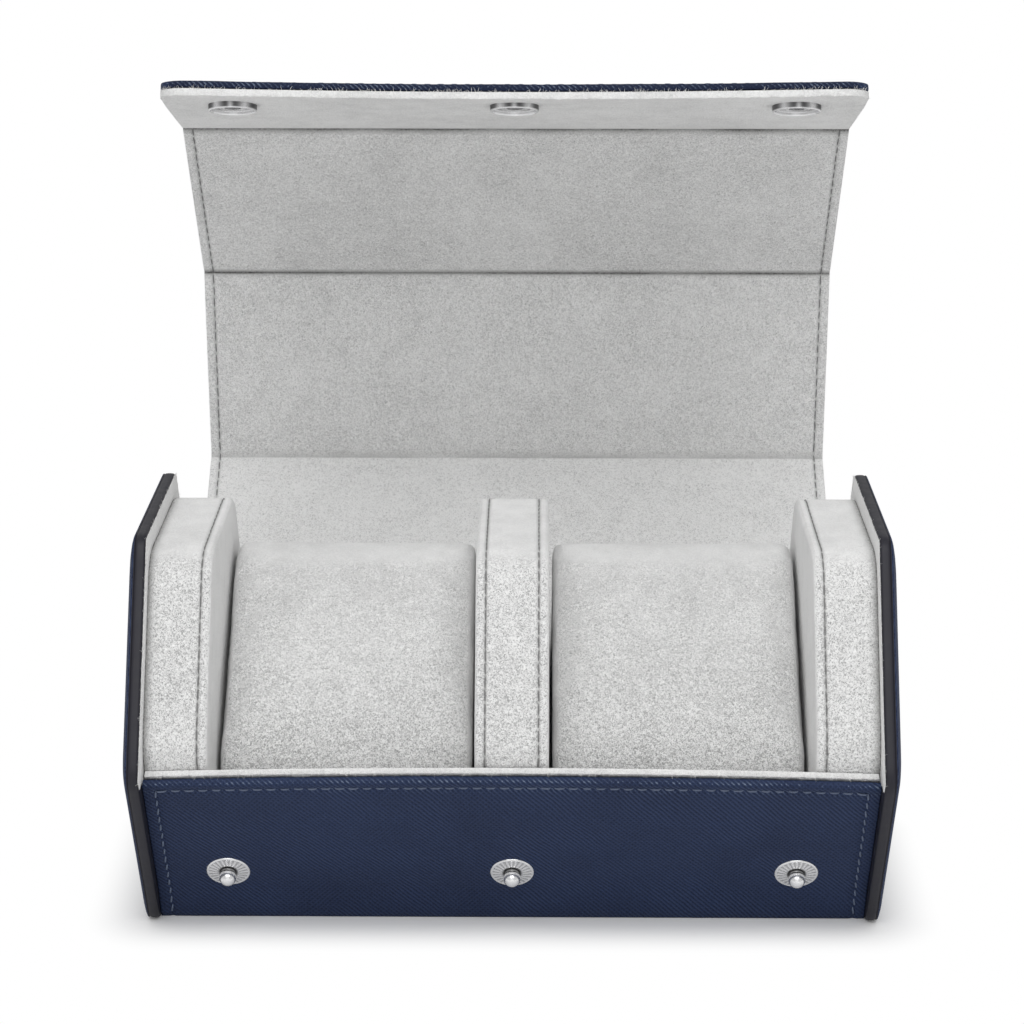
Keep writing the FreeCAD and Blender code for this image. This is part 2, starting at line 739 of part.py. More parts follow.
def round_far_corners(body, end):
    """Round off both corners of a flap layer at its far end."""
    radius = "Sizes.flap_corner_radius"
    below = f"{end} - {radius}"
    sketch = new_sketch(body, "XZ_Plane")
    for sign in ENDS.values():
        edge = f"{sign} * Sizes.panel_width / 2"
        points = [(edge, below), (edge, end), (f"{edge} - {sign} * {radius}", end)]
        draw_outline(sketch, points[::sign], {2: radius}, hollow={2})
    extrude(body, sketch, "2 * Worked.lid_thickness", kind="PartDesign::Pocket", both_ways=True)


def flap():
    """The flap: its leather is turned over the board's end, and holes take the snaps' posts."""
    skin = "Sizes.leather_thickness"
    board = "Worked.lid_board_depth"
    end = "Worked.flap_length"
    far_ends = {
        "leather": (
            "0",
            skin,
            [
                (f"-{skin}", f"{end} - {skin}"),
                (f"-{board}", f"{end} - {skin}"),
                (f"-{board}", end),
                ("0", end),
            ],
        ),
        "board": (skin, board, [(f"-{board}", f"{end} - {skin}"), (f"-{skin}", f"{end} - {skin}")]),
        "lining": (board, "Worked.lid_thickness", [("-Worked.lid_thickness", end), (f"-{board}", end)]),
    }
    bodies = []
    for name, (outer, inner, far_end) in far_ends.items():
        body = lid_layer("flap", name, outer, inner, end, far_end)
        round_far_corners(body, far_end[-1][1])
        sketch = new_sketch(body, "XZ_Plane")
        draw_circle(sketch, "-Worked.snap_span / 2", "Worked.snap_reach", "Worked.post_hole_radius")
        hole = extrude(body, sketch, "2 * Worked.lid_thickness", kind="PartDesign::Pocket", both_ways=True)
        repeat_along_x(body, hole)
        place_on_lid(body, "flap")
        bodies.append(body)
    return bodies


def snaps():
    """The snaps on the flap: caps with hollow posts outside, sockets inside, a ring spring in each socket."""
    inside = "Worked.lid_thickness"
    face = f"({inside} + Sizes.socket_height)"
    seat = f"({face} - Sizes.socket_lip)"
    post_end = f"({seat} - Worked.groove_height)"
    flange = f"({inside} + Sizes.socket_flange_thickness)"
    cap_radius = "(Sizes.snap_cap_diameter / 2)"
    cap_rise = "(Sizes.snap_cap_height - Sizes.snap_cap_rim)"
    socket_radius = "Sizes.socket_diameter / 2"
    collar_radius = f"{socket_radius} - Sizes.socket_rim_width"
    caps = new_body("snap_caps")
    turned = revolve(
        caps,
        [
            ("Worked.post_bore_radius", f"-{post_end}"),
            ("Worked.post_radius", f"-{post_end}"),
            ("Worked.post_radius", "0"),
            (cap_radius, "0"),
            (cap_radius, "Sizes.snap_cap_rim"),
            ("0", "Sizes.snap_cap_height"),
            ("0", "-Sizes.snap_cap_web"),
            ("Worked.post_bore_radius", "-Sizes.snap_cap_web"),
        ],
        {4: f"({cap_radius}^2 + {cap_rise}^2) / (2 * {cap_rise})"},
    )
    repeat_along_x(caps, turned)
    sockets = new_body("snap_sockets")
    turned = revolve(
        sockets,
        [
            ("Worked.lip_radius", f"-{face}"),
            (collar_radius, f"-{face}"),
            (collar_radius, f"-{flange}"),
            (socket_radius, f"-{flange}"),
            (socket_radius, f"-{inside}"),
            ("Worked.post_hole_radius", f"-{inside}"),
            ("Worked.post_hole_radius", f"-{post_end}"),
            ("Worked.groove_radius", f"-{post_end}"),
            ("Worked.groove_radius", f"-{seat}"),
            ("Worked.lip_radius", f"-{seat}"),
        ],
    )
    repeat_along_x(sockets, turned)
    springs = new_body("snap_springs")
    sketch = new_sketch(springs, "XZ_Plane")
    wire = "Sizes.spring_wire_width / 2"
    spring_z = f"Worked.groove_height / 2 - {seat}"
    draw_outline(
        sketch,
        [
            (f"Worked.spring_radius - {wire}", f"{spring_z} - {wire}"),
            (f"Worked.spring_radius + {wire}", f"{spring_z} - {wire}"),
            (f"Worked.spring_radius + {wire}", f"{spring_z} + {wire}"),
            (f"Worked.spring_radius - {wire}", f"{spring_z} + {wire}"),
        ],
    )
    repeat_along_x(springs, turn_profile(springs, sketch, "360 - Sizes.spring_gap_angle"))
    for body in (caps, sockets, springs):
        place(
            body,
            x="-Worked.snap_span / 2",
            y="Worked.snap_y",
            z="Worked.snap_z",
            turn=f"-Worked.flap_lean - {CAP_TURN}",
        )
    return [caps, sockets, springs]


def build():
    """Every sub-part of the case."""
    pieces = [body_leather(), *body_boards(), body_lining()]
    for end in ENDS:
        pieces += end_cap(end) + end_pad(end) + cushion(end)
    pieces += divider() + press_studs()
    pieces += lid_panel("back", "Worked.panel_length")
    pieces += lid_panel("top", "Worked.panel_length")
    pieces += lid_panel("front", "Worked.front_panel_length")
    pieces += flap() + snaps()
    return pieces


def check(pieces):
    """Stop if any object failed or any sub-part is not made of sound solids."""
    for item in document.Objects:
        if {"Invalid", "Error"} & set(item.State):
            raise RuntimeError(f"{item.Name} failed: {item.State}")
    for piece in pieces:
        if piece.Shape.isNull() or not piece.Shape.isValid() or not piece.Shape.Solids:
            raise RuntimeError(f"{piece.Label} has no sound solid")


def main():
    fill_sheet("Sizes", SIZES)
    fill_sheet("Worked", WORKED, formula="=")
    pieces = build()
    document.recompute()
    check(pieces)
    os.makedirs("parts", exist_ok=True)
    for piece in pieces:
        piece.Shape.exportStep(f"parts/{piece.Label}.step")


main()
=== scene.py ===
"""Watch storage case: leather, suede, cushions, sewing and press studs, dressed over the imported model."""

import json
import math

import bmesh
import bpy
import numpy as np
from mathutils import Matrix, Vector, noise


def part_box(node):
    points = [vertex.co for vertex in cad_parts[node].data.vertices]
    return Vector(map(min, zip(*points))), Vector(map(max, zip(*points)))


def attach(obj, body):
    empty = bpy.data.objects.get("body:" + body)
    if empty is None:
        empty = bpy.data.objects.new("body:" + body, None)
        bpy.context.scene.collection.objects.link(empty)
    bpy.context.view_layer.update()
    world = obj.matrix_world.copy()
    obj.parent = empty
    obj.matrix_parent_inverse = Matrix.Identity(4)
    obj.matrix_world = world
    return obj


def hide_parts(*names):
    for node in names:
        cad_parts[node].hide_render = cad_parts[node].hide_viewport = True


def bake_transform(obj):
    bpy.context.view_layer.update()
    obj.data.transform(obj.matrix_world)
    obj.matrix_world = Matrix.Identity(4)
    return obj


bl_info = {
    "name": "Watch storage case",
    "version": (1, 0, 0),
    "blender": (4, 5, 0),
    "location": "3D View > Sidebar > Watch case",
    "description": "Builds the leather, suede and metal of a folding watch case around its packed model",
    "category": "Add Mesh",
}

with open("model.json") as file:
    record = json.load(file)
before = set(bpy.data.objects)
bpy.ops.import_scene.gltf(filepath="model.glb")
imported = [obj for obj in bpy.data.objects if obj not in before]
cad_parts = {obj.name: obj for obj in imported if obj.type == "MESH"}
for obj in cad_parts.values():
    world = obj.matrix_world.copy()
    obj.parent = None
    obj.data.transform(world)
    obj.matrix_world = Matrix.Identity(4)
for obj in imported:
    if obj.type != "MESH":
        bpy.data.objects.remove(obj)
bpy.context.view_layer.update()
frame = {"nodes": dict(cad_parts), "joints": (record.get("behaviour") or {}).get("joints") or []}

MM = 0.001
SIDES = {"left": -1, "right": 1}

# Outward directions of the hexagon's sides, in degrees from +Y towards +Z
BOTTOM, FRONT_LOW, FRONT_HIGH, TOP_SIDE, BACK_HIGH, BACK_LOW = 270, 210, 150, 90, 30, 330
# Upwards along the front wall to its rim, and along the back wall to the hinge
RIM, HINGE_RIM = 120, 60
ROUND = (BOTTOM, BACK_LOW, BACK_HIGH, TOP_SIDE, FRONT_HIGH, FRONT_LOW)

JOINTS = {joint["name"]: joint for joint in frame["joints"]}
CREASES = ("lid_hinge", "top_crease", "front_crease", "flap_crease")
LID_BODIES = ("base", "lid_back", "lid_top", "lid_front", "flap")
SPAN_NAMES = ("hinge", "top", "front", "flap")


def crease(name):
    """A crease's place across the case, as (y, z)."""
    return np.array(JOINTS[name]["pos_m"][1:])


# The lid's hinge lies level with the hexagon's middle
MIDDLE = np.array([0.0, crease("lid_hinge")[1]])
HALF_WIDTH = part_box("body_leather")[1].x
LID_SIDE_GAP = 0.35 * MM
LID_HALF = HALF_WIDTH - LID_SIDE_GAP
# The end caps' painted edges reach a little further in than their packed boards, up to the walls
CAP_OVERLAP = 0.3 * MM
CAP_INNER_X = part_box("right_end_edge_band")[0].x - CAP_OVERLAP
WALL_SIDE_GAP = 0.04 * MM
WALL_HALF = CAP_INNER_X - WALL_SIDE_GAP


def toward(degrees):
    """A direction across the case."""
    return np.array([math.cos(math.radians(degrees)), math.sin(math.radians(degrees))])


def packed_points(node):
    """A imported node's vertices across the case, as (y, z)."""
    return np.array([vertex.co.yz for vertex in frame["nodes"][node].data.vertices])


def reach(node, degrees):
    """How far a node extends from the hexagon's middle in one direction across the case."""
    return float(((packed_points(node) - MIDDLE) @ toward(degrees)).max())


def meet(first, second):
    """Where two lines cross, each given by its outward direction and its distance from the middle."""
    normals = np.array([toward(first[0]), toward(second[0])])
    return np.linalg.solve(normals, [first[1], second[1]]) + MIDDLE


# Sizes and colours


def length(name, description, millimetres):
    """A length that the sidebar shows."""
    return bpy.props.FloatProperty(
        name=name, description=description, default=millimetres * MM, unit="LENGTH", precision=5
    )


def colour(name, description, red, green, blue):
    """A colour that the sidebar shows."""
    return bpy.props.FloatVectorProperty(
        name=name, description=description, default=(red, green, blue), subtype="COLOR", min=0, max=1
    )


def turn(name, description, degrees):
    """An angle that the sidebar shows."""
    return bpy.props.FloatProperty(
        name=name, description=description, default=math.radians(degrees), subtype="ANGLE"
    )


def power(name, description, watts):
    """A lamp's power that the sidebar shows."""
    return bpy.props.FloatProperty(name=name, description=description, default=watts, unit="POWER")


def portion(name, description, value):
    """A value from nought to one that the sidebar shows."""
    return bpy.props.FloatProperty(name=name, description=description, default=value, min=0, max=1)


class CaseSizes(bpy.types.PropertyGroup):
    """Sizes of the case's layers, edges and sewing."""

    leather: length("Leather", "Thickness of the leather", 0.8)
    lid_depth: length("Lid thickness", "From the lid's leather to the face of its lining", 3.4)
    lid_board_depth: length("Lid board depth", "From the lid's leather to the back of its lining", 2.4)
    wall_depth: length("Wall thickness", "From the walls' leather to the face of their lining", 3.6)
    wall_board_depth: length("Wall board depth", "From the walls' leather to the back of their lining", 2.6)
    roll: length("Rolled edge", "Width of the leather rolled over an edge", 1.8)
    tuck: length("Tuck", "How far rolled leather runs back behind its edge", 3)
    lip: length("Lining lip", "Height of the lining's thick edge", 1.1)
    lip_back: length("Lip depth", "From the leather to the back of the lining's thick edge", 2.0)
    hinge_strip: length("Hinge strip", "How far the lid's sheets run down the back wall", 12)
    fold: length("Fold", "Half the width over which a sheet bends at a crease", 1.6)
    crease_width: length("Crease width", "Half the width of a pressed crease", 0.38)
    crease_depth: length("Crease depth", "Depth of a pressed crease in the lining", 0.8)
    hinge_zone: length("Hinge zone", "Half the length of sheet that bends when the lid turns", 5.5)
    crease_zone: length("Crease zone", "Half the length of sheet that bends at a crease", 4.5)
    edge_round: length("Edge round", "Rounding of a sheet's cut edges", 0.45)
    seam_depth: length("Seam depth", "How far a row of stitches draws a surface in", 0.32)
    bow: length("Bow", "How far the front wall's edge rises in the middle", 1.8)
    foot: length("Foot", "How far the front wall's leather swells at its foot", 1.3)
    sag: length("Sag", "How far the flap's end hangs in the middle", 1.0)
    flap_corner: length("Flap corner", "Rounding of the flap's corners", 7)
    leather_margin: length("Leather margin", "From an edge to the stitches on the leather", 2.9)
    front_margin: length("Front margin", "From the front wall's edge to its stitches", 2.9)
    lining_margin: length("Lining margin", "From an edge to the stitches on the lid's lining", 2.5)
    pad_margin: length("Pad margin", "From a pad's corner to its stitches", 2.4)
    stitch_pitch: length("Stitch pitch", "Distance from one stitch to the next", 3.2)
    stitch_length: length("Stitch length", "Length of one stitch", 2.6)
    thread: length("Thread", "Thickness of the thread", 0.5)
    pad_corner: length("Pad corner", "Half the length over which a pad's cover bends round a corner", 6.5)
    pad_edge: length("Pad edge", "Rounding of a pad's edge towards its bay", 1.2)
    cushion_cap: length("Cushion swell", "The most that a cushion's cover swells", 0.6)
    cushion_voxel: length("Cushion mesh", "Size of the cushion's mesh while it swells", 1.7)


class CaseColours(bpy.types.PropertyGroup):
    """Colours of the case's materials."""

    leather: colour("Leather", "Raised grain of the navy leather", 0.030, 0.050, 0.118)
    leather_pit: colour("Leather pits", "Grooves of the leather's grain", 0.008, 0.014, 0.040)
    # Painted highlight: the lighter colour of grain that light catches along a fold
    leather_fold_highlight: colour("Worn leather", "Grain that catches the light along a fold", 0.22, 0.27, 0.36)
    edge: colour("Edge", "Painted edge of the end caps", 0.014, 0.0135, 0.023)
    navy_thread: colour("Navy thread", "Thread on the leather", 0.15, 0.19, 0.29)
    suede: colour("Suede", "Light side of the suede's nap", 0.95, 0.95, 0.945)
    suede_shade: colour("Suede shade", "Dark side of the suede's nap", 0.40, 0.40, 0.40)
    grey_thread: colour("Grey thread", "Thread on the suede", 0.26, 0.26, 0.26)
    # Painted shade: the dark colour given to creases, seams and gaps in the suede
    crease: colour("Crease", "Suede pressed into a crease", 0.16, 0.16, 0.155)
    # Painted shade and painted dark reflections on the press studs and sockets
    painted_metal_shade: colour("Tarnish", "Metal in the press studs' grooves", 0.03, 0.03, 0.032)
    metal: colour("Metal", "Plated press studs", 0.94, 0.94, 0.95)
    board: colour("Board", "Greyboard stiffeners", 0.42, 0.38, 0.32)
    floor: colour("Floor", "The table that the case stands on", 0.9, 0.9, 0.9)


class CaseStage(bpy.types.PropertyGroup):
    """The camera and the light."""

    elevation: turn("Elevation", "Height of the view above the level", 16.86)
    yaw: turn("Yaw", "Turn of the case under the camera", -0.56)
    distance: length("Distance", "From the camera to the case's middle", 703.96)
    side_shift: length("Side shift", "How far the camera stands to the side", -0.35)
    rise: length("Rise", "How far the camera looks above the case's middle", 45.16)
    lens: bpy.props.FloatProperty(name="Lens", description="Focal length in millimetres", default=99.36)
    ambient: bpy.props.FloatProperty(name="Ambient", description="Light from all round", default=0.57)
    key: power("Key", "Power of the lamp above", 4.9)
    fill: power("Fill", "Power of the lamp in front", 0.6)
    shadow: portion("Shadow", "How much of the table's own shading the camera sees", 1.0)
    lift: portion("Lift", "Light that the camera sees on the table in any case", 0.03)
    fade_start: length("Fade start", "From the case's foot to where the table starts to turn white", 0.5)
    fade_length: length("Fade length", "Distance over which the table turns white", 19)


# Lines across the case


class Line:
    """A bent line across the case: places along it, with the direction that faces inwards at each."""

    FINE = 0.35 * MM
    COARSE = 4.5 * MM
    SPREAD = 6 * MM
    SAMPLES = 15

    def __init__(self, corners, start=None, end=None, soft=MM, dense=(), far=0.2):
        corners = np.asarray(corners, float)
        runs = np.diff(corners, axis=0)
        first = corners[0] - runs[0] / np.linalg.norm(runs[0]) * far
        last = corners[-1] + runs[-1] / np.linalg.norm(runs[-1]) * far
        steps = np.linalg.norm(runs, axis=1)
        self.marks = np.concatenate([[0], np.cumsum(steps)])
        self.start = 0 if start is None else start
        self.end = self.marks[-1] if end is None else end
        self._corners = np.vstack([first, corners, last])
        self._lengths = np.concatenate([[-far], self.marks, [self.marks[-1] + far]])
        self._soft = soft
        self._dense = np.concatenate([self.marks[1:-1], dense])
        self.along = self._stations()
        self.points = self.at(self.along)
        ahead, behind = self.at(self.along + 0.1 * MM), self.at(self.along - 0.1 * MM)
        tangents = ahead - behind
        tangents /= np.linalg.norm(tangents, axis=1)[:, None]
        self.inward = np.stack([-tangents[:, 1], tangents[:, 0]], 1)

    def _stations(self):
        """Distances along the line, close together near its corners and its other dense places."""
        found = [self.start]
        while found[-1] < self.end:
            near = np.abs(self._dense - found[-1]).min() if len(self._dense) else self.SPREAD
            found.append(found[-1] + self.FINE + (self.COARSE - self.FINE) * min(1, near / self.SPREAD))
        found = np.array(found)
        return self.start + (found - self.start) * (self.end - self.start) / (found[-1] - self.start)

    def at(self, along):
        """Places along the line, with its corners rounded by averaging it over a short reach."""
        window = np.linspace(-self._soft, self._soft, self.SAMPLES)
        wanted = np.asarray(along)[:, None] + window
        return np.stack(
            [np.interp(wanted, self._lengths, self._corners[:, axis]).mean(1) for axis in (0, 1)], 1
        )


def inside(corners, depth):
    """A bent line moved inwards by a depth, with its corners mitred."""
    corners = np.asarray(corners, float)
    runs = np.diff(corners, axis=0)
    runs /= np.linalg.norm(runs, axis=1)[:, None]
    normals = np.stack([-runs[:, 1], runs[:, 0]], 1)
    bends = [depth * (a + b) / (1 + a @ b) for a, b in zip(normals, normals[1:])]
    return corners + np.array([depth * normals[0], *bends, depth * normals[-1]])


def bell(values, width):
    """A smooth hump of height one at zero."""
    return np.exp(-((np.asarray(values) / width) ** 2))


def ease(values, start, end):
    """A smooth step from nought at a start to one at an end."""
    share = np.clip((np.asarray(values) - start) / (end - start), 0, 1)
    return share * share * (3 - 2 * share)


def ripple(x, y=0.0, z=0.0):
    """Smooth noise from -1 to 1, the same on every run."""
    return noise.noise(Vector((x, y, z)))


def ripples(x, along, pitch, seed):
    """Smooth noise along a line, at one place along X."""
    return np.array([ripple(x / pitch, distance / pitch, seed) for distance in along])


def spread_x(half, edge_steps, step):
    """Places along X from one edge of a sheet to the other, close together near both edges."""
    inner = half - edge_steps[-1]
    middle = np.linspace(-inner, inner, 2 * round(inner / step) + 1)
    edge = half - np.array(edge_steps[:-1])
    return np.concatenate([-edge, middle, edge[::-1]])


# Rows of a sheet's mesh beside its edges, as distances from the edge
EDGE_STEPS = [s * MM for s in (0, 0.12, 0.3, 0.6, 1.1, 1.6, 2.0, 2.3, 2.6, 2.9, 3.2, 3.6, 4.2, 5.5, 8)]


def rounded_edge(x, half, radius):
    """How far a sheet's face draws in beside its cut edge."""
    past = np.clip((abs(x) - (half - radius)) / radius, 0, 1)
    return radius * (1 - math.sqrt(1 - past**2))


# Meshes


def ring_piece(name, rings, closed=False):
    """A piece extruded from ring to ring of points: filled at both ends, or closed upon itself."""
    bpy.ops.object.select_all(action="DESELECT")
    fill = "NOTHING" if closed else "NGON"
    bpy.ops.mesh.primitive_circle_add(vertices=len(rings[0]), fill_type=fill)
    piece = bpy.context.object
    piece.name = piece.data.name = name
    bpy.ops.object.mode_set(mode="EDIT")
    mesh = bmesh.from_edit_mesh(piece.data)
    order = mesh.verts.layers.int.new("order")
    for index, vertex in enumerate(mesh.verts):
        vertex[order] = index
    for number, ring in enumerate([*rings, rings[0]] if closed else rings):
        if number:
            bpy.ops.mesh.extrude_region_move()
            mesh = bmesh.from_edit_mesh(piece.data)
            order = mesh.verts.layers.int["order"]
        for vertex in mesh.verts:
            if vertex.select:
                vertex.co = ring[vertex[order]]
        bmesh.update_edit_mesh(piece.data)
    bpy.ops.mesh.select_all(action="SELECT")
    bpy.ops.mesh.remove_doubles(threshold=0.002 * MM)
    bpy.ops.mesh.normals_make_consistent(inside=False)
    bpy.ops.object.mode_set(mode="OBJECT")
    piece.location = (0, 0, 0)
    bpy.ops.object.shade_smooth_by_angle(angle=math.radians(50))
    return piece


def still(along, x):
    """No movement."""
    return np.zeros(len(along))


def sheet_piece(name, places, outer, inner, outer_swell, inner_swell, shift=None, pressed=None):
    """A sheet between two lines, as wide as its places along X.

    Each swell moves its face outwards, the shift moves both faces across the case, and the pressed marks are
    a pair of measures of painted light and shade for the outer and the inner face.
    """
    rings = []
    for x in places:
        front = outer.points - outer.inward * np.asarray(outer_swell(outer.along, x)).reshape(-1, 1)
        back = inner.points + inner.inward * np.asarray(inner_swell(inner.along, x)).reshape(-1, 1)
        if shift:
            front = front + shift(outer.points, outer.along, x)
            back = back + shift(inner.points, inner.along, x)
        section = np.vstack([front, back[::-1]])
        rings.append(np.column_stack([np.full(len(section), x), section]))
    piece = ring_piece(name, rings)
    lay_grain(piece, np.concatenate([outer.along, inner.along[::-1]]))
    if pressed:
        marks = np.array(
            [np.concatenate([pressed[0](outer.along, x), pressed[1](inner.along, x)[::-1]]) for x in places]
        )
        row = np.abs(vertex_places(piece)[:, :1] - np.array(places)[None, :]).argmin(1)
        mark(piece, "pressed", marks[row, ring_order(piece)])
    return piece


def vertex_places(piece):
    """The places of a piece's vertices."""
    places = np.empty(len(piece.data.vertices) * 3)
    piece.data.vertices.foreach_get("co", places)
    return places.reshape(-1, 3)


def mark(piece, name, values):
    """Keep one number for each of a piece's vertices, for its material to read."""
    found = piece.data.attributes.new(name, "FLOAT", "POINT")
    found.data.foreach_set("value", np.asarray(values).astype(np.float32))


def ring_order(piece):
    """Each vertex's number in its ring."""
    order = np.empty(len(piece.data.vertices), int)
    piece.data.attributes["order"].data.foreach_get("value", order)
    return order


def mark_nap(piece, nap=None, brush=0.0):
    """Keep how coarse the nap is, by default coarser in front as painted shade, and its painted light."""
    across, back, up = vertex_normals(piece).T
    # Painted shade of the pile: its contrast is raised on faces turned forward, where light grazes them
    coarse = 0.2 + 1.3 * ease(-back, 0.25, 0.85) if nap is None else np.full(len(back), nap)
    mark(piece, "nap", coarse)
    # Painted light: faces turned across the case and faces turned up are made lighter
    mark(piece, "brush", brush + 0.25 * across**2 + 0.17 * ease(up, 0.85, 0.98))


# The nap of the lid's lining on the hinge strip and the four panels, and the painted light of each
PANEL_NAP = np.array([0.85, 0.85, 0.85, 0.85, 0.35])
PANEL_PAINTED_BRIGHTNESS = np.array([0.2, 0.2, 0.02, 0, 0.14])


def mark_lid_nap(piece, lid):
    """Keep the nap of the lid's lining, smoother on the flap, and painted light that brightens its back and
    flap.
    """
    places = vertex_places(piece)[:, 1:]
    off = []
    for start, end in zip(lid, lid[1:]):
        run = end - start
        share = np.clip((places - start) @ run / (run @ run), 0, 1)
        off.append(np.linalg.norm(places - start - share[:, None] * run, axis=1))
    panel = np.argmin(off, axis=0)
    mark(piece, "nap", PANEL_NAP[panel])
    mark(piece, "brush", PANEL_PAINTED_BRIGHTNESS[panel])


def vertex_normals(piece):
    """The normals at a piece's vertices."""
    normals = np.empty(len(piece.data.vertices) * 3)
    piece.data.vertex_normals.foreach_get("vector", normals)
    return normals.reshape(-1, 3)


def lay_grain(piece, along=None):
    """Map the leather's grain in metres: across X and along the sheet, or over Y and Z on an end cap."""
    mesh = piece.data
    places = vertex_places(piece)
    if along is None:
        plane = places[:, 1:]
    else:
        plane = np.column_stack([places[:, 0], np.asarray(along)[ring_order(piece)]])
    loops = np.empty(len(mesh.loops), int)
    mesh.loops.foreach_get("vertex_index", loops)
    mesh.uv_layers.new(name="grain").data.foreach_set("uv", plane[loops].ravel().astype(np.float32))


def copies(name, model, places):
    """One piece of many copies of a small model, each at a place with its own three directions."""
    points = np.array([vertex.co for vertex in model.data.vertices])
    faces = [tuple(face.vertices) for face in model.data.polygons]
    vertices = np.vstack([origin + points @ np.array(axes) for origin, axes in places])
    polygons = [tuple(i + n * len(points) for i in face) for n in range(len(places)) for face in faces]
    mesh = bpy.data.meshes.new(name)
    mesh.from_pydata(vertices.tolist(), [], polygons)
    piece = bpy.data.objects.new(name, mesh)
    bpy.context.scene.collection.objects.link(piece)
    for face in mesh.polygons:
        face.use_smooth = True
    return piece


def put_on(piece, body, slot, finish, *nodes):
    """Finish a piece: its material, the body that it rides on and the nodes that it stands for."""
    piece.data.materials.clear()
    piece.data.materials.append(finish)
    if "order" in piece.data.attributes:
        piece.data.attributes.remove(piece.data.attributes["order"])
    if body:
        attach(piece, body)
    if nodes:
        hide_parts(*nodes)
    return piece


# Materials


class Field:
    """A number that varies over a surface: sums and products of fields add Math nodes."""

    def __init__(self, tree, socket):
        self.tree = tree
        self.socket = socket

    def maths(self, operation, *values):
        node = self.tree.nodes.new("ShaderNodeMath")
        node.operation = operation
        for entry, value in zip(node.inputs, values):
            if isinstance(value, Field):
                self.tree.links.new(value.socket, entry)
            else:
                entry.default_value = value
        return Field(self.tree, node.outputs[0])

    def __add__(self, other):
        return self.maths("ADD", self, other)

    def __sub__(self, other):
        return self.maths("SUBTRACT", self, other)

    def __rsub__(self, other):
        return self.maths("SUBTRACT", other, self)

    def __mul__(self, other):
        return self.maths("MULTIPLY", self, other)

    def __pow__(self, other):
        return self.maths("POWER", self, other)

    def sine(self):
        return self.maths("SINE", self)

    def larger(self, other):
        return self.maths("MAXIMUM", self, other)

    def clamped(self):
        return self.maths("MINIMUM", self.maths("MAXIMUM", self, 0), 1)

    __radd__ = __add__
    __rmul__ = __mul__


class Finish:
    """A material under construction."""

    def __init__(self, name):
        self.material = bpy.data.materials.new(name)
        self.material.use_nodes = True
        self.tree = self.material.node_tree
        self.shader = self.tree.nodes["Principled BSDF"]

    def node(self, kind, settings=None, output=0, **values):
        """A node of any kind: its settings first, then the values or links of its sockets."""
        node = self.tree.nodes.new(kind)
        for name, value in (settings or {}).items():
            setattr(node, name, value)
        for name, value in values.items():
            self.connect(node.inputs[name.replace("_", " ")], value)
        return Field(self.tree, node.outputs[output])

    def connect(self, entry, value):
        if isinstance(value, Field):
            self.tree.links.new(value.socket, entry)
        else:
            entry.default_value = value

    def place(self):
        return self.node("ShaderNodeTexCoord", output="Object")

    def grain(self):
        """The two distances of the leather's grain map."""
        parts = self.node("ShaderNodeUVMap", {"uv_map": "grain"})
        return [self.node("ShaderNodeSeparateXYZ", output=axis, Vector=parts) for axis in ("X", "Y")]

    def cloud(self, size, detail=2.0, rough=0.5, distort=0.0):
        """Noise whose patches are about a size across."""
        where = self.node(
            "ShaderNodeVectorMath", {"operation": "SCALE"}, Vector=self.place(), Scale=1 / size
        )
        return self.node(
            "ShaderNodeTexNoise", Vector=where, Scale=1.0, Detail=detail, Roughness=rough, Distortion=distort
        )

    def marked(self, name):
        """A number that a piece keeps for each vertex: its painted light or shade, or how coarse its nap is.
        """
        return self.node("ShaderNodeAttribute", {"attribute_name": name}, output="Fac")

    def mix(self, factor, first, second):
        """A colour between two colours."""
        node = self.tree.nodes.new("ShaderNodeMix")
        node.data_type = "RGBA"
        self.connect(node.inputs["Factor"], factor)
        for name, value in (("A", first), ("B", second)):
            entry = next(s for s in node.inputs if s.name == name and s.type == "RGBA")
            self.connect(entry, value if isinstance(value, Field) else (*value, 1))
        return Field(self.tree, next(s for s in node.outputs if s.type == "RGBA"))

    def raised(self, height, distance, strength=1.0):
        """A normal bent by a height."""
        normal = self.node("ShaderNodeBump", Strength=strength, Distance=distance, Height=height)
        self.connect(self.shader.inputs["Normal"], normal)

    def set(self, **values):
        for name, value in values.items():
            entry = self.shader.inputs[name.replace("_", " ")]
            if not isinstance(value, Field) and entry.type == "RGBA":
                value = (*value, 1)
            self.connect(entry, value)
        return self.material


GRAIN_PITCH = 0.95 * MM
GRAIN_TURN = math.radians(42)


